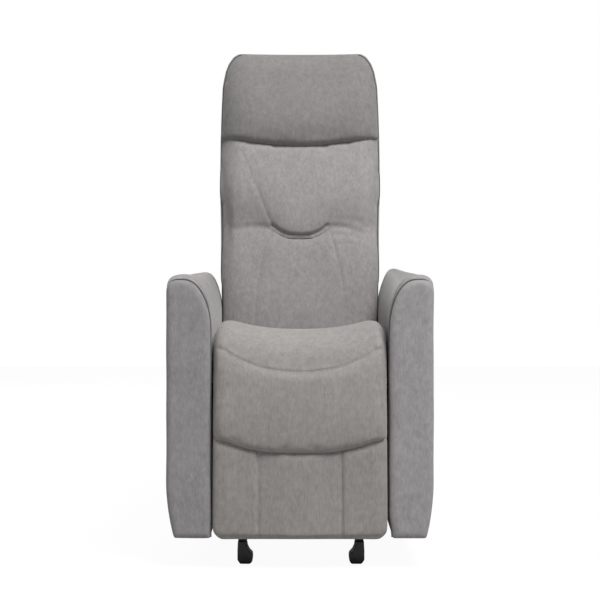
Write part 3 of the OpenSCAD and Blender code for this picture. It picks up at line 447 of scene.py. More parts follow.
def inflate(piece, pressure, cap, share):
    """Fills a closed skin with air. Foam behind the cover lets it swell but hardly sink, so each
    point moves out by the cap at most, in by a little, and only slightly sideways. The share of
    that move which is kept is one number or one for each point."""
    start = points_of(piece)
    cloth = piece.modifiers.new("air", "CLOTH")
    settings = cloth.settings
    settings.quality = CLOTH_STEPS
    settings.use_pressure = True
    settings.uniform_pressure_force = pressure
    settings.effector_weights.gravity = 0
    settings.tension_stiffness = STRETCH
    settings.compression_stiffness = STRETCH
    settings.bending_stiffness = BENDING
    cloth.collision_settings.use_collision = False
    cloth.point_cache.frame_start = 1
    cloth.point_cache.frame_end = FRAMES
    for frame_number in range(1, FRAMES + 1):
        scene.frame_set(frame_number)
    depsgraph = bpy.context.evaluated_depsgraph_get()
    move = vectors(piece.evaluated_get(depsgraph).data.vertices, "co") - start
    move -= move.mean(0)
    normals = normals_of(piece)
    out = (move*normals).sum(1, keepdims=True)
    aside = (move - out*normals)*SLIDE_SHARE
    aside *= np.minimum(1, SLIDE/np.maximum(np.linalg.norm(aside, axis=1, keepdims=True), 1e-9))
    move = (normals*np.clip(out, -SINK, cap) + aside)*share
    piece.modifiers.remove(cloth)
    scene.frame_set(1)
    set_points(piece, start + move)
    print(piece.name, "filled, furthest", round(float(out.max())*1000, 1), "mm before the cap")


def hand_made(piece, height):
    """Long, shallow waves, as hand-cut foam and a tacked cover have."""
    co = points_of(piece)
    waves = sum(np.sin(co @ np.array(way) + phase) for way, phase in WAVES)/len(WAVES)
    set_points(piece, co + normals_of(piece)*(height*waves)[:, None])
    return piece


print("air pressure ready")

# %% [markdown]
# Most pads are slabs: a flat back on a board, a crowned front, and edges that roll over. A slab
# is drawn by its outline, then each point of its skin is carried out to the depth that the pad
# has there, which may depend on how far it lies from the edge.

# %% Slabs
RIM_STEPS = 700


def slab(name, outline, thickness, voxel, depth_of, place, rounds=4, rim=None):
    """A pad from an outline (across, up), cut from a block of some thickness and skinned in
    squares of the voxel's size. depth_of(across, up, edge) gives its depth at a distance from the
    rim, which is the outline or a path of its own, and place(across, up, out) sets a point in the
    frame."""
    across, up = np.asarray(outline, float).T
    verts, faces = prism(rows(across, up, 0.0), rows(across, up, thickness))
    piece = even_skin(add_object(name, verts, faces), voxel, rounds)
    co = points_of(piece)
    rim = even_steps(outline if rim is None else rim, RIM_STEPS, closed=rim is None)
    edge = distance_to(rim, co[:, :2])
    out = co[:, 2]/thickness*depth_of(co[:, 0], co[:, 1], edge)
    set_points(piece, place(co[:, 0], co[:, 1], out))
    face_outward(piece.data)
    return piece


def rolled(edge, radius):
    """0 at the edge and 1 past the radius, along a quarter circle."""
    return np.sqrt(np.maximum(0, 1 - (1 - np.clip(edge/radius, 0, 1))**2))


def press(piece, path, depth, width, fold=0.0):
    """Draws a sewn line into a piece: points near the path sink along their normals, and a low
    fold may rise on both sides of it, two widths away."""
    distance = distance_to(path, points_of(piece))
    sink = depth*np.exp(-(distance/width)**2) - fold*np.exp(-((distance - 2*width)/width)**2)
    set_points(piece, points_of(piece) - normals_of(piece)*sink[:, None])


def surface_of(piece):
    """A searchable copy of a piece's surface."""
    mesh = piece.data
    return BVHTree.FromPolygons([v.co for v in mesh.vertices], [p.vertices for p in mesh.polygons])


def laid_on(surface, path, lift=0.0):
    """A path moved to the nearest places on a surface, and lifted off it."""
    found = [surface.find_nearest(Vector(p)) for p in path]
    return np.array([place + normal*lift for place, normal, _, _ in found])


def finish_soft(piece, material, body, slot_name, *nodes, fill):
    """Gives a soft piece its cloth, its body and the frame's blocks it stands for. Its slot name is not used."""
    piece.data.materials.clear()
    piece.data.materials.append(material)
    if body:
        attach(piece, body)
    if nodes:
        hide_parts(*nodes)
    print(piece.name, len(piece.data.polygons), "faces on", body)


print("slab helpers ready")

# %% [markdown]
# Stitches and piping follow paths, so Geometry Nodes make them. Both trees turn a path into a
# curve in even steps and end in real mesh with its material. The stitch tree stands a small
# grain-shaped stitch along the curve on each step, and the piping tree sweeps a round profile.

# %% Geometry Nodes trees
def path_tree(name, sizes, dress):
    """A tree that takes a path in even steps and lets dress(node, given, curve) build on it."""
    tree = bpy.data.node_groups.new(name, "GeometryNodeTree")
    sockets = {"Geometry": "Geometry", **{size: "Float" for size in sizes}, "Material": "Material"}
    for key, kind in sockets.items():
        tree.interface.new_socket(key, in_out="INPUT", socket_type="NodeSocket" + kind)
    tree.interface.new_socket("Geometry", in_out="OUTPUT", socket_type="NodeSocketGeometry")

    def node(kind, settings, **values):
        """A node, its settings, and the values or links of its sockets by name."""
        made = tree.nodes.new(kind)
        for key, value in settings.items():
            setattr(made, key, value)
        for key, value in values.items():
            socket = made.inputs[key.replace("_", " ")]
            if isinstance(value, bpy.types.NodeSocket):
                tree.links.new(value, socket)
            else:
                socket.default_value = value
        return made.outputs

    given = node("NodeGroupInput", {})
    curve = node("GeometryNodeMeshToCurve", {}, Mesh=given["Geometry"])[0]
    curve = node("GeometryNodeResampleCurve", {"mode": "LENGTH"}, Curve=curve, Length=given["Pitch"])[0]
    real = node("GeometryNodeRealizeInstances", {}, Geometry=dress(node, given, curve))[0]
    paint = node("GeometryNodeSetMaterial", {}, Geometry=real, Material=given["Material"])[0]
    node("NodeGroupOutput", {}, Geometry=paint)
    return tree


def stitches(node, given, curve):
    tangent = node("GeometryNodeInputTangent", {})[0]
    turned = node("FunctionNodeAlignRotationToVector", {"axis": "Z"}, Vector=tangent)[0]
    grain = node("GeometryNodeMeshUVSphere", {}, Segments=6, Rings=5, Radius=0.5)["Mesh"]
    width, length = given["Thickness"], given["Length"]
    size = node("ShaderNodeCombineXYZ", {}, X=width, Y=width, Z=length)[0]
    return node("GeometryNodeInstanceOnPoints", {}, Points=curve, Instance=grain,
                Rotation=turned, Scale=size)["Instances"]


def cord(node, given, curve):
    ring = node("GeometryNodeCurvePrimitiveCircle", {}, Resolution=10, Radius=given["Radius"])["Curve"]
    return node("GeometryNodeCurveToMesh", {}, Curve=curve, Profile_Curve=ring, Fill_Caps=True)["Mesh"]


STITCH_TREE = path_tree("stitches", ("Pitch", "Length", "Thickness"), stitches)
PIPING_TREE = path_tree("piping_dark_for_shade", ("Pitch", "Radius"), cord)


def along_paths(name, tree, paths, material, body, **sizes):
    """One mesh from a tree, run along several paths at once."""
    verts, edges = [], []
    for path in paths:
        base = len(verts)
        verts += [tuple(map(float, p)) for p in path]
        edges += [(base + i, base + i + 1) for i in range(len(path) - 1)]
    mesh = bpy.data.meshes.new(name)
    mesh.from_pydata(verts, edges, [])
    made = bpy.data.objects.new(name, mesh)
    scene.collection.objects.link(made)
    modifier = made.modifiers.new("along", "NODES")
    modifier.node_group = tree
    sockets = {item.name: item.identifier for item in tree.interface.items_tree if item.in_out == "INPUT"}
    for key, value in {**sizes, "Material": material}.items():
        modifier[sockets[key]] = value
    bake(made)
    if body:
        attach(made, body)
    print(name, len(made.data.polygons), "faces along", len(paths), "paths")
    return made


print("trees", STITCH_TREE.name, PIPING_TREE.name)

# %% [markdown]
# The back leans ten degrees from the pivot of the recline joint. Its pieces are drawn flat, as
# they lie on a bench: across, height along the lean, and depth out towards the sitter. `leaned`
# then stands such a point up in the chair.

# %% The lean of the back
LEAN = math.radians(10)
PIVOT = joints["recline"]["pos_m"]
SHELL_T = 0.057


def leaned(across, height, out):
    """A point of the back: height along the lean from the pivot, out towards the sitter."""
    return rows(across,
                PIVOT[1] - out*math.cos(LEAN) + height*math.sin(LEAN),
                PIVOT[2] + out*math.sin(LEAN) + height*math.cos(LEAN))


def back_half(height):
    """Half the width of the back: narrow between the arms, wider above them."""
    return 0.1893 + 0.0062*ease((height - 0.235)/0.060) + 0.0035*ease((height - 0.300)/0.250)


print("pivot", [round(v, 4) for v in PIVOT])

# %% [markdown]
# The back cushion is one long pad under the head pillow. It fills out twice: a shield-shaped panel
# behind the shoulders, and a lumbar swell below it. The shield hangs over the crease at its foot,
# a shallow U, so light falls off just above the crease and comes back just below it. The V-shaped
# lines of the shield are sewn in, deeper towards the U, and the cloth puckers where they meet.

# %% Back cushion
SEAT_H, SEAM_H, SEAM_RISE, SEAM_HALF = 0.062, 0.600, 0.026, 0.199
U_H, U_HALF, U_LIFT = 0.371, 0.070, 0.026
WAIST_H, UPPER_SPREAD, LOWER_SPREAD = 0.396, 0.068, 0.040
LUMBAR_FOOT, TUCKED = 0.088, 0.012
SIDE_DEPTH, CROWN_DEPTH, SIDE_ROLL, RIM_HALF = 0.056, 0.086, 0.060, 0.1955
AIR_FROM_Z, AIR_RISE = 0.60, 0.14
SHARP_SWELL, UPPER_SWELL, LOWER_SWELL, LINE_BLUR = 0.021, 0.014, 0.016, 0.018
SEWN_WIDTH, SKIN_GUESS, ROW_STEPS, NEAR_U = 0.0048, 0.11, 160, 90


def head_seam(across):
    """Height of the seam below the head pillow: lowest in the middle."""
    return SEAM_H + SEAM_RISE*np.minimum(1, np.abs(across)/SEAM_HALF)**1.9


def shield_half(height):
    """Half the width of the shield: a waist at the U, wider above and below."""
    up = UPPER_SPREAD*np.clip((height - WAIST_H)/0.175, 0, 2)**1.1
    down = LOWER_SPREAD*np.sin(math.pi/2*np.clip((WAIST_H - height)/0.231, 0, 1))**0.9
    return U_HALF + np.where(height > WAIST_H, up, down)


def u_height(across):
    """Height of the crease under the shield."""
    return U_H + U_LIFT*np.clip(np.abs(across)/U_HALF, 0, 1)**2.4


def cushion_depth(across, height, edge):
    """Depth of the back cushion: rolled sides, and an upper and a lower swell, which rise sharply
    inside the shield's lines and gently in the wings outside them."""
    aside = np.abs(across)
    inside = 1/(1 + np.exp((aside - shield_half(height))/LINE_BLUR))
    valley = u_height(np.minimum(aside, U_HALF))
    up_s = np.clip((height - valley)/(head_seam(across) - valley), 0, 1)
    down_s = np.clip((valley - height)/(valley - LUMBAR_FOOT), 0, 1)
    above = height > valley
    swell = np.where(above, np.sin(math.pi*up_s**0.55), np.sin(math.pi*down_s**0.84))
    gentle = np.where(above, np.sin(math.pi*up_s**0.78), np.sin(math.pi*down_s**0.78))
    sharp = np.maximum(0, swell)**0.66*SHARP_SWELL
    soft = np.maximum(0, gentle)**1.8*np.where(above, UPPER_SWELL, LOWER_SWELL)
    crown = CROWN_DEPTH + sharp*inside + soft*(1 - inside)
    return SIDE_DEPTH + (crown - SIDE_DEPTH)*rolled(edge, SIDE_ROLL)


def fold_over(across, height, out):
    """Stands a point up in the chair, with the foot of the shield folded over its crease."""
    line = u_height(np.minimum(np.abs(across), U_HALF))
    near = np.exp(-(np.maximum(0, height - line)/0.013)**2)*ease((height - line + 0.008)/0.008)
    inside = ease((U_HALF + 0.012 - np.abs(across))/0.024)
    shown = np.clip((out - 0.06)/0.02, 0, 1)
    return leaned(across, height - 0.0050*near*inside*shown, out)


heights = np.linspace(SEAT_H, SEAM_H + SEAM_RISE + TUCKED, 44)
right = rows(back_half(heights), heights)
across = back_half(SEAM_H)*np.linspace(1, -1, 31)[1:-1]
top = rows(across, head_seam(across) + TUCKED)
rim = rows(RIM_HALF, np.array([SEAT_H - 0.1, SEAM_H + 0.16]))
back_cushion = slab("back_cushion_cover", np.vstack([right, top, mirror(right)]), 0.05, 0.0055,
                    cushion_depth, fold_over, rim=np.vstack([rim, mirror(rim)]))
above_arms = ease((points_of(back_cushion)[:, 2:] - AIR_FROM_Z)/AIR_RISE)
inflate(back_cushion, pressure=3.0, cap=0.011, share=0.8*above_arms)
subdivide(back_cushion)

# Each pucker is a start, a bend and an end (across, height), and a depth.
PUCKERS = {1: [((0.084, 0.396), (0.120, 0.398), (0.165, 0.380), 0.0012),
               ((0.088, 0.380), (0.122, 0.383), (0.158, 0.368), 0.0010),
               ((0.090, 0.412), (0.118, 0.416), (0.146, 0.408), 0.0006)],
           -1: [((0.084, 0.394), (0.120, 0.400), (0.158, 0.392), 0.0007)]}
PUCKER_WIDTH = 0.0062
upward, downward = np.linspace(0.400, 0.588, 60), np.linspace(0.388, 0.120, 60)
shield_lines = [leaned(side*shield_half(heights), heights, SKIN_GUESS)
                for side in (-1, 1) for heights in (upward, downward)]
u_across = np.linspace(-U_HALF, U_HALF, 60)
skin = surface_of(back_cushion)
for path in shield_lines:
    sewn = even_steps(laid_on(skin, path), ROW_STEPS)
    press(back_cushion, sewn, 0.0010, SEWN_WIDTH)
    press(back_cushion, sewn[:NEAR_U], 0.0009, SEWN_WIDTH)
u_line = laid_on(skin, leaned(u_across, u_height(u_across), SKIN_GUESS))
press(back_cushion, even_steps(u_line, ROW_STEPS), 0.0070, SEWN_WIDTH)
for side, folds in PUCKERS.items():
    for start, bend, end, depth in folds:
        fold = quadratic(start, bend, end, 40)
        fold = leaned(side*fold[:, 0], fold[:, 1], SKIN_GUESS)
        press(back_cushion, laid_on(skin, fold), depth, PUCKER_WIDTH, depth*0.35)
print("back cushion pressed along", len(shield_lines) + 1, "lines")

# %% [markdown]
# The head pillow is full above the seam, where its foam folds under, and thins to the top of the
# back. Its upper corners are long ellipses, twice as tall as they are wide, and its top edge sags
# a little in the middle.

# %% Head pillow
PILLOW_TOP, PILLOW_LIP, PILLOW_HALF, TOP_SAG = 0.851, 0.001, 0.1985, 0.0025
CORNER_W, CORNER_H = 0.046, 0.090
BELLY, LIP_R, PILLOW_ROLL, PILLOW_WALL = 0.118, 0.013, 0.070, 0.058


def pillow_half(height):
    """Half the width of the pillow: a little narrower towards the top."""
    return PILLOW_HALF - 0.006*np.clip((height - 0.62)/0.20, 0, 1)


def pillow_depth(across, height, edge):
    """Depth of the head pillow: a full belly above a tight lip, easing back to the top."""
    rise = np.clip((height - head_seam(across))/(PILLOW_TOP - SEAM_H), 0, 1)
    belly = BELLY - 0.004*(np.abs(across)/SEAM_HALF)**2 - 0.052*rise**1.8
    belly -= 0.013*np.clip(1 - rise/0.40, 0, 1)**2
    lip = rolled(height - (head_seam(across) - PILLOW_LIP), LIP_R)
    wall = PILLOW_WALL - 0.008*rise
    sides = wall + (belly - wall)*rolled(edge, PILLOW_ROLL)
    middle = 1 - ease((np.abs(across) - 0.140)/0.050)
    return sides*(1 - 0.15*middle*(1 - lip))


turn = np.linspace(0, math.pi/2, 14)[1:]


def shoulder_path(inset=0.0):
    """The round upper right corner of the pillow, inset from its outline."""
    half = pillow_half(PILLOW_TOP)
    return rows(half - CORNER_W + (CORNER_W - inset)*np.cos(turn),
                PILLOW_TOP - CORNER_H + (CORNER_H - inset)*np.sin(turn))


heights = np.linspace(SEAM_H + SEAM_RISE - PILLOW_LIP, PILLOW_TOP - CORNER_H, 24)
right = np.vstack([rows(pillow_half(heights), heights), shoulder_path()])
top_half = right[-1, 0]
across = np.linspace(top_half, -top_half, 21)[1:-1]
top = rows(across, PILLOW_TOP - TOP_SAG*(1 - (across/top_half)**2))
across = np.linspace(-PILLOW_HALF, PILLOW_HALF, 41)[1:-1]
bottom = rows(across, head_seam(across) - PILLOW_LIP)
down = np.array([[PILLOW_HALF, SEAM_H - 0.15]])
head_pillow = slab("head_pillow_cover", np.vstack([right, top, mirror(right), bottom]), 0.05, 0.006,
                   pillow_depth, leaned, rim=np.vstack([down, right, top, mirror(right), mirror(down)]))
inflate(head_pillow, pressure=3.0, cap=0.010, share=0.4)
subdivide(head_pillow)
print("head pillow", len(head_pillow.data.polygons), "faces")

# %% [markdown]
# Behind the foam, a fabric shell wraps the frame of the back, and a panel closes the chair
# between the arms. Both are boards under thin wadding: flat, with soft edges.

# %% Back shell and rear panel
SHELL_TOP, SHELL_FOOT, SHELL_CORNER, SHELL_EDGE = 0.838, -0.024, 0.052, 0.017
PANEL_CORNER, PANEL_EDGE = 0.014, 0.016


def shell_half(height):
    return 0.1890 + 0.0065*ease((height - 0.180)/0.070)


def shell_depth(across, height, edge):
    return SHELL_T - SHELL_EDGE + SHELL_EDGE*rolled(edge, 2*SHELL_EDGE)


def rounded_box(half, bottom, top, radius):
    """An outline with four round corners, counterclockwise from the lower right."""
    quarter = np.linspace(0, math.pi/2, 8)
    corners = []
    for k, (a, b) in enumerate([(half, bottom), (half, top), (-half, top), (-half, bottom)]):
        centre = (a - math.copysign(radius, a), b + (radius if k in (0, 3) else -radius))
        angles = quarter + (k - 1)*math.pi/2
        corners.append(rows(centre[0] + radius*np.cos(angles), centre[1] + radius*np.sin(angles)))
    return np.vstack(corners)


heights = np.linspace(SHELL_FOOT, SHELL_TOP - SHELL_CORNER, 50)
shoulder = rows(shell_half(SHELL_TOP) - SHELL_CORNER*(1 - np.cos(turn)),
                SHELL_TOP - SHELL_CORNER*(1 - np.sin(turn)))
right = np.vstack([rows(shell_half(heights), heights), shoulder])
shell_outline = np.vstack([right, mirror(right)])
back_shell = slab("back_shell_cover", shell_outline, 0.05, 0.007, shell_depth,
                  lambda across, height, out: leaned(across, height, -out))
subdivide(back_shell)
rear_low, rear_high = box_of("rear_panel")
rear_depth = rear_high[1] - rear_low[1]
rear_outline = rounded_box(rear_high[0], rear_low[2], rear_high[2], PANEL_CORNER)
rear_panel = slab("rear_panel_cover", rear_outline, 0.02, 0.006,
                  lambda across, height, edge: rear_depth*(0.72 + 0.28*rolled(edge, PANEL_EDGE)),
                  lambda across, height, out: rows(across, rear_low[1] + out, height))
subdivide(rear_panel)
print("rear panel", np.round(rear_low, 3), np.round(rear_high, 3))

# %% [markdown]
# The seat and the top of the legrest share one long pad, so no gap opens between them. It runs
# forward over the seat, rises to a crest, turns over the front edge and hangs down to the tuck
# above the footrest. Its sides stand higher than its middle, where a sitter has worn it down. Two
# given paths (along, up) carry it: one in the middle and one near each side.

# %% Chaise pad
CHAISE_HALF, FLAT_SHARE = 0.1895, 0.87
MID_PATH = [(0.112, 0.483), (0.020, 0.487), (-0.080, 0.491), (-0.180, 0.494), (-0.262, 0.5030),
            (-0.312, 0.5035), (-0.350, 0.4885), (-0.376, 0.466), (-0.388, 0.420), (-0.394, 0.360),
            (-0.395, 0.310), (-0.394, 0.270), (-0.389, 0.2405)]
SIDE_PATH = [(0.112, 0.493), (0.020, 0.496), (-0.080, 0.501), (-0.180, 0.514), (-0.262, 0.5290),
             (-0.310, 0.5295), (-0.346, 0.513), (-0.370, 0.478), (-0.381, 0.436), (-0.387, 0.380),
             (-0.391, 0.330), (-0.391, 0.297), (-0.387, 0.2685)]
SEAT_THICK, FLAP_THICK, SEAT_ROLL, FLAP_ROLL, END_ROLL = 0.058, 0.027, 0.040, 0.022, 0.014
PATH_LENGTH = 0.75
STEPS, ACROSS = 110, 61
SMILE_H, SMILE_RISE, SMILE_HALF = 0.4240, 0.0545, 0.163
TUCK_H, TUCK_RISE, TUCK_HALF = 0.2455, 0.028, 0.165


def smooth_path(points, count, rounds=3):
    """Even steps along a given path, with its corners cut off."""
    path = np.array(points)
    for _ in range(rounds):
        cut = np.stack([0.75*path[:-1] + 0.25*path[1:], 0.25*path[:-1] + 0.75*path[1:]], axis=1)
        path = np.vstack([path[:1], cut.reshape(-1, 2), path[-1:]])
    return even_steps(path, count)


share = np.linspace(-1, 1, ACROSS)
weight = (np.minimum(1, np.abs(share)/FLAT_SHARE)**2.5)[None, :, None]
surface = (smooth_path(MID_PATH, STEPS)[:, None, :]*(1 - weight)
           + smooth_path(SIDE_PATH, STEPS)[:, None, :]*weight)
run = np.gradient(surface, axis=0)
outward = np.stack([-run[..., 1], run[..., 0]], axis=-1)
outward /= -np.linalg.norm(outward, axis=-1, keepdims=True)
s = np.linspace(0, 1, STEPS)
thick = SEAT_THICK + (FLAP_THICK - SEAT_THICK)*ease((s - 0.50)/0.22)
radius = SEAT_ROLL + (FLAP_ROLL - SEAT_ROLL)*ease((s - 0.52)/0.2)
roll = rolled(CHAISE_HALF*(1 - np.abs(share))[None, :], radius[:, None])
end = rolled((1 - s)*PATH_LENGTH, END_ROLL)[:, None]
front_share = roll*(0.25 + 0.75*end)
back = surface - outward*thick[:, None, None]
front = back + outward*(thick[:, None]*(0.12 + 0.88*front_share))[..., None]
x = np.broadcast_to(share*CHAISE_HALF, (STEPS, ACROSS))[..., None]
chaise = closed_pad("chaise_pad", np.concatenate([x, front], axis=-1), np.concatenate([x, back], axis=-1))
even_skin(chaise, 0.006, 3)
inflate(chaise, pressure=2.2, cap=0.010, share=0.7)
subdivide(chaise)


def smile(across):
    """Height of the seam across the front of the seat, with a last small rise near the sides."""
    aside = np.abs(across)
    rise = SMILE_RISE*np.minimum(1, aside/SMILE_HALF)**2.3
    return SMILE_H + rise + 0.003*ease((aside - 0.150)/0.035)


def tuck(across):
    """Height of the tuck between the legrest and the footrest."""
    return TUCK_H + TUCK_RISE*np.minimum(1, np.abs(across)/TUCK_HALF)**2.5


seam_x = np.linspace(-0.184, 0.184, 120)
smile_line = even_steps(laid_on(surface_of(chaise), rows(seam_x, -0.392, smile(seam_x))), 200)
press(chaise, smile_line, 0.0026, 0.0052)
print("chaise", len(chaise.data.polygons), "faces")

# %% [markdown]
# Under the long pad, a block of firm foam fills the seat up from its springs.

# %% Foam core
core_low, core_high = box_of("seat_cushion")
CORE_TOP, CORE_FRONT = 0.452, -0.330
core_depth = CORE_TOP - core_low[2]
core_outline = rounded_box(CHAISE_HALF - 0.008, CORE_FRONT, core_high[1] - 0.004, 0.016)
foam_core = slab("seat_foam_core", core_outline, core_depth, 0.008,
                 lambda across, along, edge: core_depth*(0.9 + 0.1*rolled(edge, 0.02)),
                 lambda across, along, out: rows(across, along, core_low[2] + out))
print("seat foam from", round(float(core_low[2]), 3), "to", CORE_TOP)

# %% [markdown]
# The footrest pad is thin and flat. Two seams divide it in three, its lower corners are round,
# and a shallow crease follows its lower rim. Its top is thinner and set back, where it tucks
# in behind the end of the chaise pad.

# %% Footrest pad
low, high = box_of("footrest_pad")
foot_front, foot_back = low[1], high[1]
FOOT_HALF, FOOT_CORNER, FOOT_SEAM_X, FOOT_RISE = 0.188, 0.026, 0.090, 0.011
RIM_INSET, RIM_LIFT, FOOT_WALL, FOOT_CROWN, FOOT_EDGE = 0.022, 0.0085, 0.0135, 0.0105, 0.015
across = np.linspace(FOOT_HALF, -FOOT_HALF, 41)
foot_box = rounded_box(FOOT_HALF, low[2], 0.4, FOOT_CORNER)
foot_outline = np.vstack([foot_box[:8], rows(across, tuck(across) + FOOT_RISE), foot_box[-8:]])


def footrest_depth(across, height, edge):
    """Depth of the footrest pad: flat, with a soft rim and a crowned middle panel."""
    panels = 0.0022*np.cos(math.pi*across/FOOT_SEAM_X)*np.where(np.abs(across) < FOOT_SEAM_X, 1, 0)
    under = ease((height - tuck(across) + 0.010)/0.016)
    return (FOOT_WALL + (FOOT_CROWN + panels)*rolled(edge, FOOT_EDGE))*(1 - 0.42*under)


def footrest_place(across, height, out):
    """Stands the pad on its board, with its top set forward of the board."""
    forward = 0.0075*ease((height - tuck(across) + 0.008)/0.014)
    return rows(across, foot_back - out - forward, height)


footrest = slab("footrest_pad_cover", foot_outline, 0.02, 0.005, footrest_depth, footrest_place)
inflate(footrest, pressure=1.2, cap=0.004, share=0.7)
subdivide(footrest)
foot_z = np.linspace(low[2] + 0.001, 0.262, 90)
foot_seams = {side: rows(side*FOOT_SEAM_X, foot_front, foot_z) for side in (-1, 1)}
for seam in foot_seams.values():
    press(footrest, laid_on(surface_of(footrest), seam), 0.0032, 0.0042)
rim_x = np.linspace(-FOOT_HALF + RIM_INSET, FOOT_HALF - RIM_INSET, 160)
rim_line = rows(rim_x, foot_front, low[2] + RIM_LIFT)
press(footrest, laid_on(surface_of(footrest), rim_line), 0.0016, 0.0030)
print("footrest pad", np.round(low, 3), np.round(high, 3))

# %% [markdown]
# An arm is a tall padded box with a tongue-shaped profile. Its inner side rolls into the top
# along a quarter ellipse nearly twice as tall as wide. Its outer top corner is small, and its
# outer side draws in towards the floor. It is lofted along its length. A low ridge rises over its
# inner half towards the rear, and both of its ends roll over.

# %% Arms
arm_low, arm_high = box_of("arm_right")
panel_low, panel_high = box_of("arm_front_panel_right")
ARM_IN, ARM_OUT, ARM_FOOT = arm_low[0], arm_high[0], arm_low[2]
ARM_TOP, RIDGE_X, RIDGE_W, DRAW_IN, DRAW_H = 0.630, 0.220, 0.032, 0.016, 0.120
RIDGES = {"right": 0.019, "left": 0.007}
FOOT_SLANT, SLANT_H = 0.006, 0.122
ROLL_W, ROLL_H, OUTER_R = 0.057, 0.108, 0.022
FRONT_ROLL, REAR_ROLL, PANEL_STEP, ARM_SEAM_Y = 0.030, 0.026, 0.005, -0.344
SIGNS = {"right": 1, "left": -1}


def tongue(inner, outer, foot, top, roll_w, roll_h, outer_r, count=180):
    """The profile of an arm in even steps, from its inner foot over the top to its outer foot."""
    over = np.linspace(0, math.pi/2, 24)
    roll = rows(inner + roll_w*(1 - np.cos(over)), top - roll_h*(1 - np.sin(over)))
    corner = rows(outer - outer_r*(1 - np.sin(over)), top - outer_r*(1 - np.cos(over)))
    fall = np.linspace(DRAW_H, 0, 14)
    side = rows(outer - DRAW_IN*(1 - fall/DRAW_H)**2, foot + fall)
    return even_steps(np.vstack([[[inner, foot]], roll, corner, side]), count)


def arm_section(at, length, ridge):
    """The profile of an arm at a distance from its front end, shrunk where an end rolls over. At
    the front the roll takes most from the inner side, since the outer side stays almost flush.
    Towards the rear the top falls a little, and its corners change with it."""
    front = FRONT_ROLL - (at + PANEL_STEP)
    rear = REAR_ROLL - (length - at)
    drawn = sum(r - math.sqrt(max(0.0, r*r - reach*reach))
                for r, reach in ((FRONT_ROLL, max(0, front)), (REAR_ROLL, max(0, rear))))
    risen = ease(at/length*1.6)
    flat = tongue(ARM_IN, ARM_OUT, ARM_FOOT, ARM_TOP - 0.008*risen,
                  ROLL_W - 0.011*risen, ROLL_H - 0.013*risen, OUTER_R + 0.006*risen)
    high = ease((flat[:, 1] - ARM_TOP + 0.060)/0.060)
    flat[:, 1] += ridge*risen*high*np.exp(-((flat[:, 0] - RIDGE_X)/RIDGE_W)**2)
    middle = (flat.min(0) + flat.max(0))/2
    size = (flat.max(0) - flat.min(0))/2
    flat = middle + (flat - middle)*(1 - drawn/size)
    flat[:, 0] += drawn*0.85*(at < length/2)
    return rows(flat[:, 0], arm_low[1] + at, flat[:, 1])


def arm_block(name, ridge):
    """The loft of an arm, closed at both ends, on the +X side."""
    length = arm_high[1] - arm_low[1]
    stations = np.concatenate([np.linspace(0, 0.04, 12), np.linspace(0.04, length - 0.03, 22)[1:-1],
                               np.linspace(length - 0.03, length, 10)])
    sections = np.array([arm_section(at, length, ridge) for at in stations])
    n, m = sections.shape[:2]
    index = np.arange(n*m).reshape(n, m)
    faces = [(index[i, j], index[i + 1, j], index[i + 1, (j + 1) % m], index[i, (j + 1) % m])
             for i in range(n - 1) for j in range(m)]
    faces += [tuple(index[0]), tuple(index[-1])]
    return add_object(name, sections.reshape(-1, 3), faces)


def slanted(co):
    """Points with the right arm's inner side slanting away from the footrest near its foot."""
    co = co.copy()
    co[:, 0] += FOOT_SLANT*ease((SLANT_H - co[:, 2])/0.055)*ease((0.235 - co[:, 0])/0.03)
    return co


def mirrored(piece):
    set_points(piece, points_of(piece)*(-1, 1, 1))
    piece.data.flip_normals()


arms, arm_seams = {}, []
for side, sign in SIGNS.items():
    arm = even_skin(arm_block("arm_cover_" + side, RIDGES[side]), 0.0075, 3)
    if side == "left":
        mirrored(arm)
    else:
        set_points(arm, slanted(points_of(arm)))
    arms[side] = hand_made(subdivide(arm), 0.0012)
    ring = tongue(ARM_IN, ARM_OUT, ARM_FOOT, ARM_TOP, ROLL_W, ROLL_H, OUTER_R, 300)
    seam_line = laid_on(surface_of(arm), rows(sign*ring[:, 0], ARM_SEAM_Y, ring[:, 1]))
    press(arm, seam_line, 0.0042, 0.0038)
    arm_seams.append(laid_on(surface_of(arm), seam_line[4:-4], 0.0002))
print("arms", len(arms["right"].data.polygons), "faces each")

# %% [markdown]
# The release handle is let into the outer side of the arm at -X, the left one in the picture. The
# cover is cut out round its cup.

# %% Cut-out for the handle
cup_low, cup_high = box_of("release_cup")
CUP_FIT, CUP_CORNER, CUT_DEPTH = 0.0004, 0.0085, 0.03
cup_mid = (cup_low + cup_high)/2
cup_half = (cup_high - cup_low)/2 + CUP_FIT
cup_across, cup_up = rounded_box(cup_half[1], -cup_half[2], cup_half[2], CUP_CORNER).T
cut_ends = (rows(cut_x, cup_mid[1] + cup_across, cup_mid[2] + cup_up)
            for cut_x in (cup_low[0] - CUT_DEPTH, cup_high[0] + CUP_FIT))
cutter = add_object("cup_cutter", *prism(*cut_ends))
cut = arms["left"].modifiers.new("cup", "BOOLEAN")
cut.operation = "DIFFERENCE"
cut.solver = "EXACT"
cut.object = cutter
bake(arms["left"])
bpy.data.objects.remove(cutter)
print("cup recess at", np.round(cup_mid, 3))

# %% [markdown]
# The front of each arm is a padded panel with the same tongue profile, sewn to the arm with a
# corded welt. The pad rises quickly from the welt and then stays nearly flat.

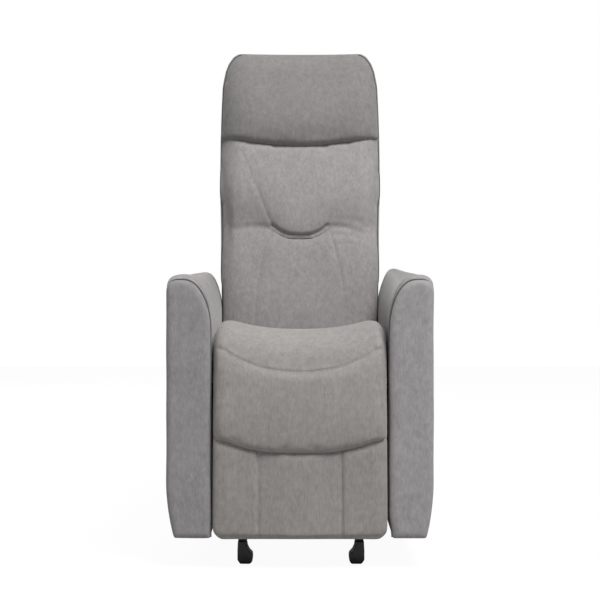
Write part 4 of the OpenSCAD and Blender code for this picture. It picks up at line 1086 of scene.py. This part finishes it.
# %% Arm front panels and welts
PANEL_TOP, WELT_R = panel_high[2], 0.0022
panel_back = panel_high[1]
panel_depth = panel_high[1] - panel_low[1]
panels, welts = {}, []
for side, sign in SIGNS.items():
    profile = tongue(ARM_IN + 0.0015, ARM_OUT - 0.001, ARM_FOOT, PANEL_TOP, ROLL_W, ROLL_H, OUTER_R)
    panel = slab("arm_front_pad_" + side, profile*(sign, 1), 0.02, 0.0042,
                 lambda across, height, edge: panel_depth*(0.30 + 0.70*rolled(edge, 0.014)),
                 lambda across, height, out: rows(across, panel_back - out, height))
    if side == "right":
        set_points(panel, slanted(points_of(panel)))
    panels[side] = hand_made(subdivide(panel), 0.0008)
    ring = tongue(ARM_IN + 0.0014, ARM_OUT - 0.004, ARM_FOOT + 0.002, PANEL_TOP + 0.0010,
                  ROLL_W, ROLL_H, OUTER_R)
    ring = rows(ring[:, 0], panel_back + 0.0012, ring[:, 1])
    welts.append(slanted(ring) if side == "right" else ring*(-1, 1, 1))
print("front panels", len(panels["right"].data.polygons), "faces each")

# %% [markdown]
# Each end of the base stands in a moulded boot: a sleeve that widens towards the floor, with a
# toe on the inner side. The four are one outline, extruded along the rails and rounded over. The
# two at +X sit a little further out, as in the picture.

# %% Rail boots
glide_low, glide_high = box_of("floor_glides")
BOOT_LENGTH, BOOT_SHIFT, BOOT_ROUND = 0.054, 0.004, 0.0028
BOOT_OUTLINE = [(0.1170, 0.050), (0.1352, 0.050), (0.1362, 0.030), (0.1362, 0.008), (0.1300, 0.000),
                (0.1085, 0.000), (0.1032, 0.006), (0.1032, 0.019), (0.1110, 0.027), (0.1150, 0.036)]
boot_across, boot_up = np.array(BOOT_OUTLINE).T
boot_verts, boot_faces = [], []
for side in (-1, 1):
    for start in (glide_low[1], glide_high[1] - BOOT_LENGTH):
        boot_x = side*boot_across + BOOT_SHIFT*(side > 0)
        verts, faces = prism(*(rows(boot_x, start + along, boot_up) for along in (0, BOOT_LENGTH)))
        boot_faces += [tuple(len(boot_verts) + k for k in face) for face in faces]
        boot_verts += verts
boots = add_object("rail_boots", boot_verts, boot_faces)
edge_round = boots.modifiers.new("round", "BEVEL")
edge_round.width = BOOT_ROUND
edge_round.segments = 4
edge_round.limit_method = "ANGLE"
edge_round.angle_limit = math.radians(20)
bake(boots)
boots.data.materials.append(finishes["black_plastic"])
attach(boots, "base")
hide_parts("floor_glides")
print("boots", len(boots.data.polygons), "faces")

# %% [markdown]
# Black dust cloth is stapled over the ends of the seat's side rails, where they could show
# between the legrest and the arms.

# %% Dust cloth on the rail ends
CLOTH_T, CLOTH_LAP, CLOTH_FIT = 0.0008, 0.001, 0.0001


def dust_cloth():
    f = Finish("black_dust_cloth")
    fibres = f.noise(f.place(), 1400, 3, 0.7)
    return f.close(bump=fibres, strength=0.2, distance=0.0002,
                   Base_Color=f.mix(fibres, colour("0e0e0f"), colour("1d1d1f")),
                   Roughness=f.spread(fibres, 0.3, 0.7, 0.85, 0.95))


black_cloth = dust_cloth()
for side in ("left", "right"):
    low, high = box_of("seat_side_rail_" + side)
    mid_x, half_x = (low[0] + high[0])/2, (high[0] - low[0])/2
    outline = rounded_box(half_x + 0.0002, low[2] - CLOTH_LAP, high[2] + CLOTH_LAP, 0.002)
    cover = slab("rail_end_cloth_" + side, outline, 0.004, 0.0015, lambda across, height, edge: CLOTH_T,
                 lambda across, height, out: rows(across + mid_x, low[1] - CLOTH_FIT - out, height), rounds=1)
    cover.data.materials.append(black_cloth)
    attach(cover, "chassis")
print("rail ends covered")

# %% [markdown]
# Now the trims. Rows of stitches run beside the seams, laid on the finished surfaces, and piping
# closes the joints between front and shell.

# %% Stitches and piping
STITCH_PITCH, STITCH_SHARE, STITCH_WIDTH, STITCH_LIFT = 0.0036, 0.78, 0.0009, 0.0003
SEAM_CORD_R, BORDER_IN, BORDER_OUT, PIPE_R = 0.0009, 0.0040, 0.066, 0.0010
SHELL_INSETS, BACK_GAP, CHAISE_GAP, FOOT_GAP = (0.030, 0.036), 0.0030, 0.0050, 0.0042


def beside(path, offset, normal_hint=(0, -1, 0)):
    """A path moved sideways by an offset, across the direction it faces."""
    aside = np.cross(np.gradient(path, axis=0), np.array(normal_hint))
    aside /= np.maximum(np.linalg.norm(aside, axis=1, keepdims=True), 1e-9)
    return path + aside*offset


def stitched(name, piece, paths, body):
    """Rows of stitches laid on a piece's surface."""
    skin = surface_of(piece)
    lines = [laid_on(skin, even_steps(path, 260), STITCH_LIFT) for path in paths]
    made = along_paths(name, STITCH_TREE, lines, thread, body, Pitch=STITCH_PITCH,
                       Length=STITCH_PITCH*STITCH_SHARE, Thickness=STITCH_WIDTH)
    return made


def piped(name, paths, body, pitch, radius):
    """Cords of one radius along several paths."""
    along_paths(name, PIPING_TREE, paths, piping_dark_for_shade, body, Pitch=pitch, Radius=radius)


back_rows = [beside(path, offset, (0, -1, 0.17)) for path in shield_lines for offset in (-BACK_GAP, BACK_GAP)]
stitched("back_stitches", back_cushion, back_rows, "backrest")
chaise_rows = [beside(smile_line, offset) for offset in (CHAISE_GAP, -CHAISE_GAP)]
chaise_stitches = stitched("chaise_stitches", chaise, chaise_rows, None)
foot_rows = [beside(seam, side*FOOT_GAP) for side, seam in foot_seams.items()]
stitched("footrest_stitches", footrest, foot_rows, "footrest")

shell_rows = []
for inset in SHELL_INSETS:
    ring = even_steps(shell_outline, 300)*(1 - inset/0.195, 1 - inset/0.43) + (0, inset)
    shell_rows.append(leaned(ring[:, 0], ring[:, 1], -SHELL_T))
press(back_shell, laid_on(surface_of(back_shell), even_steps(shell_rows[0], 400)), 0.0020, 0.0045)
stitched("shell_stitches", back_shell, shell_rows, "backrest")
# Welts and seam cords are dark with painted shade, standing for the shadow in their grooves.
piped("arm_welts", welts, "chassis", 0.006, WELT_R)
piped("arm_seam_cords", arm_seams, "chassis", 0.005, SEAM_CORD_R)


def border(side):
    """The cord between the front of the back and its side gusset, from the arm to the top."""
    low_part = np.linspace(0.10, head_seam(SEAM_HALF) - 0.004, 60)
    high_part = np.linspace(head_seam(SEAM_HALF), PILLOW_TOP - CORNER_H, 24)
    lower = rows(back_half(low_part) - BORDER_IN, low_part)
    upper = np.vstack([rows(pillow_half(high_part) - BORDER_IN, high_part), shoulder_path(BORDER_IN)])
    return [laid_on(surface_of(piece), leaned(side*flat[:, 0], flat[:, 1], BORDER_OUT), 0.0002)
            for piece, flat in ((back_cushion, lower), (head_pillow, upper))]


border_rows = border(-1) + border(1)
for k, row in enumerate(border_rows):
    press(back_cushion if k % 2 == 0 else head_pillow, even_steps(row, 260), 0.0016, 0.0026)
# The border cords are dark with painted shade, standing for the shadow in the pressed groove.
piped("back_piping", border_rows, "backrest", 0.005, PIPE_R)

# %% [markdown]
# Each soft piece now gets its cloth and its body, and takes the place of the frame's plain block.

# %% Dress the soft pieces
finish_soft(back_cushion, fabric, "backrest", "upholstery", "back_cushion", fill=0.75)
# The head pillow takes the darker copy of the cloth, with painted shade.
finish_soft(head_pillow, shaded_pillow_fabric, "backrest", "upholstery", "head_pillow", fill=0.8)
finish_soft(back_shell, fabric, "backrest", "upholstery", "back_shell", fill=0.6)
finish_soft(rear_panel, fabric, "chassis", "upholstery", "rear_panel", fill=0.6)
finish_soft(foam_core, fabric, "chassis", "upholstery", fill=0.9)
finish_soft(chaise, legrest_fabric, None, "upholstery", "seat_cushion", "flap_pad", fill=0.75)
finish_soft(footrest, legrest_fabric, "footrest", "panel_fabric", "footrest_pad", fill=0.7)
# The front panel at +X takes the lighter copy of the cloth, with painted light.
front_cloth = {"right": lit_right_panel_fabric, "left": panel_fabric}
for side in SIGNS:
    finish_soft(arms[side], fabric, "chassis", "upholstery", "arm_" + side, fill=0.8)
    finish_soft(panels[side], front_cloth[side], "chassis", "panel_fabric",
                "arm_front_panel_" + side, fill=0.7)
for piece in (chaise, chaise_stitches):
    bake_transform(piece)

# %% [markdown]
# The picture is a plain studio shot: a pale floor, a white surround, one broad soft light above
# and in front, and a weak one behind. The surround looks white to the camera and in reflections,
# and lights the chair more gently, so the cloth keeps its shadows.

# %% Stage and light
FLOOR_HALF, FLOOR_GLOW, FLOOR_SHARE, PAPER_GREY, AMBIENT = 6.0, 1.12, 0.85, 0.42, 0.30
WHITE = (1, 1, 1, 1)
KEY = {"place": (1.5, -2.6, 4.9), "target": (0, -0.1, 0.6), "size": 2.4, "watts": 290}
BACK = {"place": (-2.2, 3.4, 2.6), "target": (0, 0, 0.6), "size": 2.4, "watts": 55}

floor_corners = [(a*FLOOR_HALF, b*FLOOR_HALF, 0) for a, b in ((-1, -1), (1, -1), (1, 1), (-1, 1))]
floor = add_object("floor", floor_corners, [(0, 1, 2, 3)])
f = Finish("floor_paper")
paper = f.node("BsdfDiffuse", {}, Color=(PAPER_GREY, PAPER_GREY, PAPER_GREY, 1))
glow = f.node("Emission", {}, Color=WHITE, Strength=FLOOR_GLOW)
seen = f.node("LightPath", {}, output="Is Camera Ray")
f.node("OutputMaterial", {}, Surface=f.node("MixShader", {}, seen*FLOOR_SHARE, paper, glow))
floor.data.materials.append(f.owner)

w = Finish("surround", bpy.data.worlds)
camera_ray, glossy_ray, clear_ray = (w.node("LightPath", {}, output="Is " + kind + " Ray")
                                     for kind in ("Camera", "Glossy", "Transmission"))
seen = w.node("Math", {"operation": "MAXIMUM"}, camera_ray, glossy_ray)
seen = w.node("Math", {"operation": "MAXIMUM"}, seen, clear_ray)
gentle = w.node("Background", {}, Color=WHITE, Strength=AMBIENT)
bright = w.node("Background", {}, Color=WHITE, Strength=1.0)
w.node("OutputWorld", {}, Surface=w.node("MixShader", {}, seen, gentle, bright))
scene.world = w.owner


def soft_light(name, place, target, size, watts):
    """A square area light that faces a target."""
    data = bpy.data.lights.new(name, "AREA")
    data.shape = "SQUARE"
    data.size = size
    data.energy = watts
    lamp = bpy.data.objects.new(name, data)
    lamp.location = place
    lamp.rotation_euler = (Vector(target) - Vector(place)).to_track_quat("-Z", "Y").to_euler()
    scene.collection.objects.link(lamp)
    return lamp


key_light = soft_light("key_light", **KEY)
back_light = soft_light("back_light", **BACK)
print("stage set")

# %% [markdown]
# Last, the colour view transform is set to Standard.

# %% View transform
scene.view_settings.view_transform = "Standard"
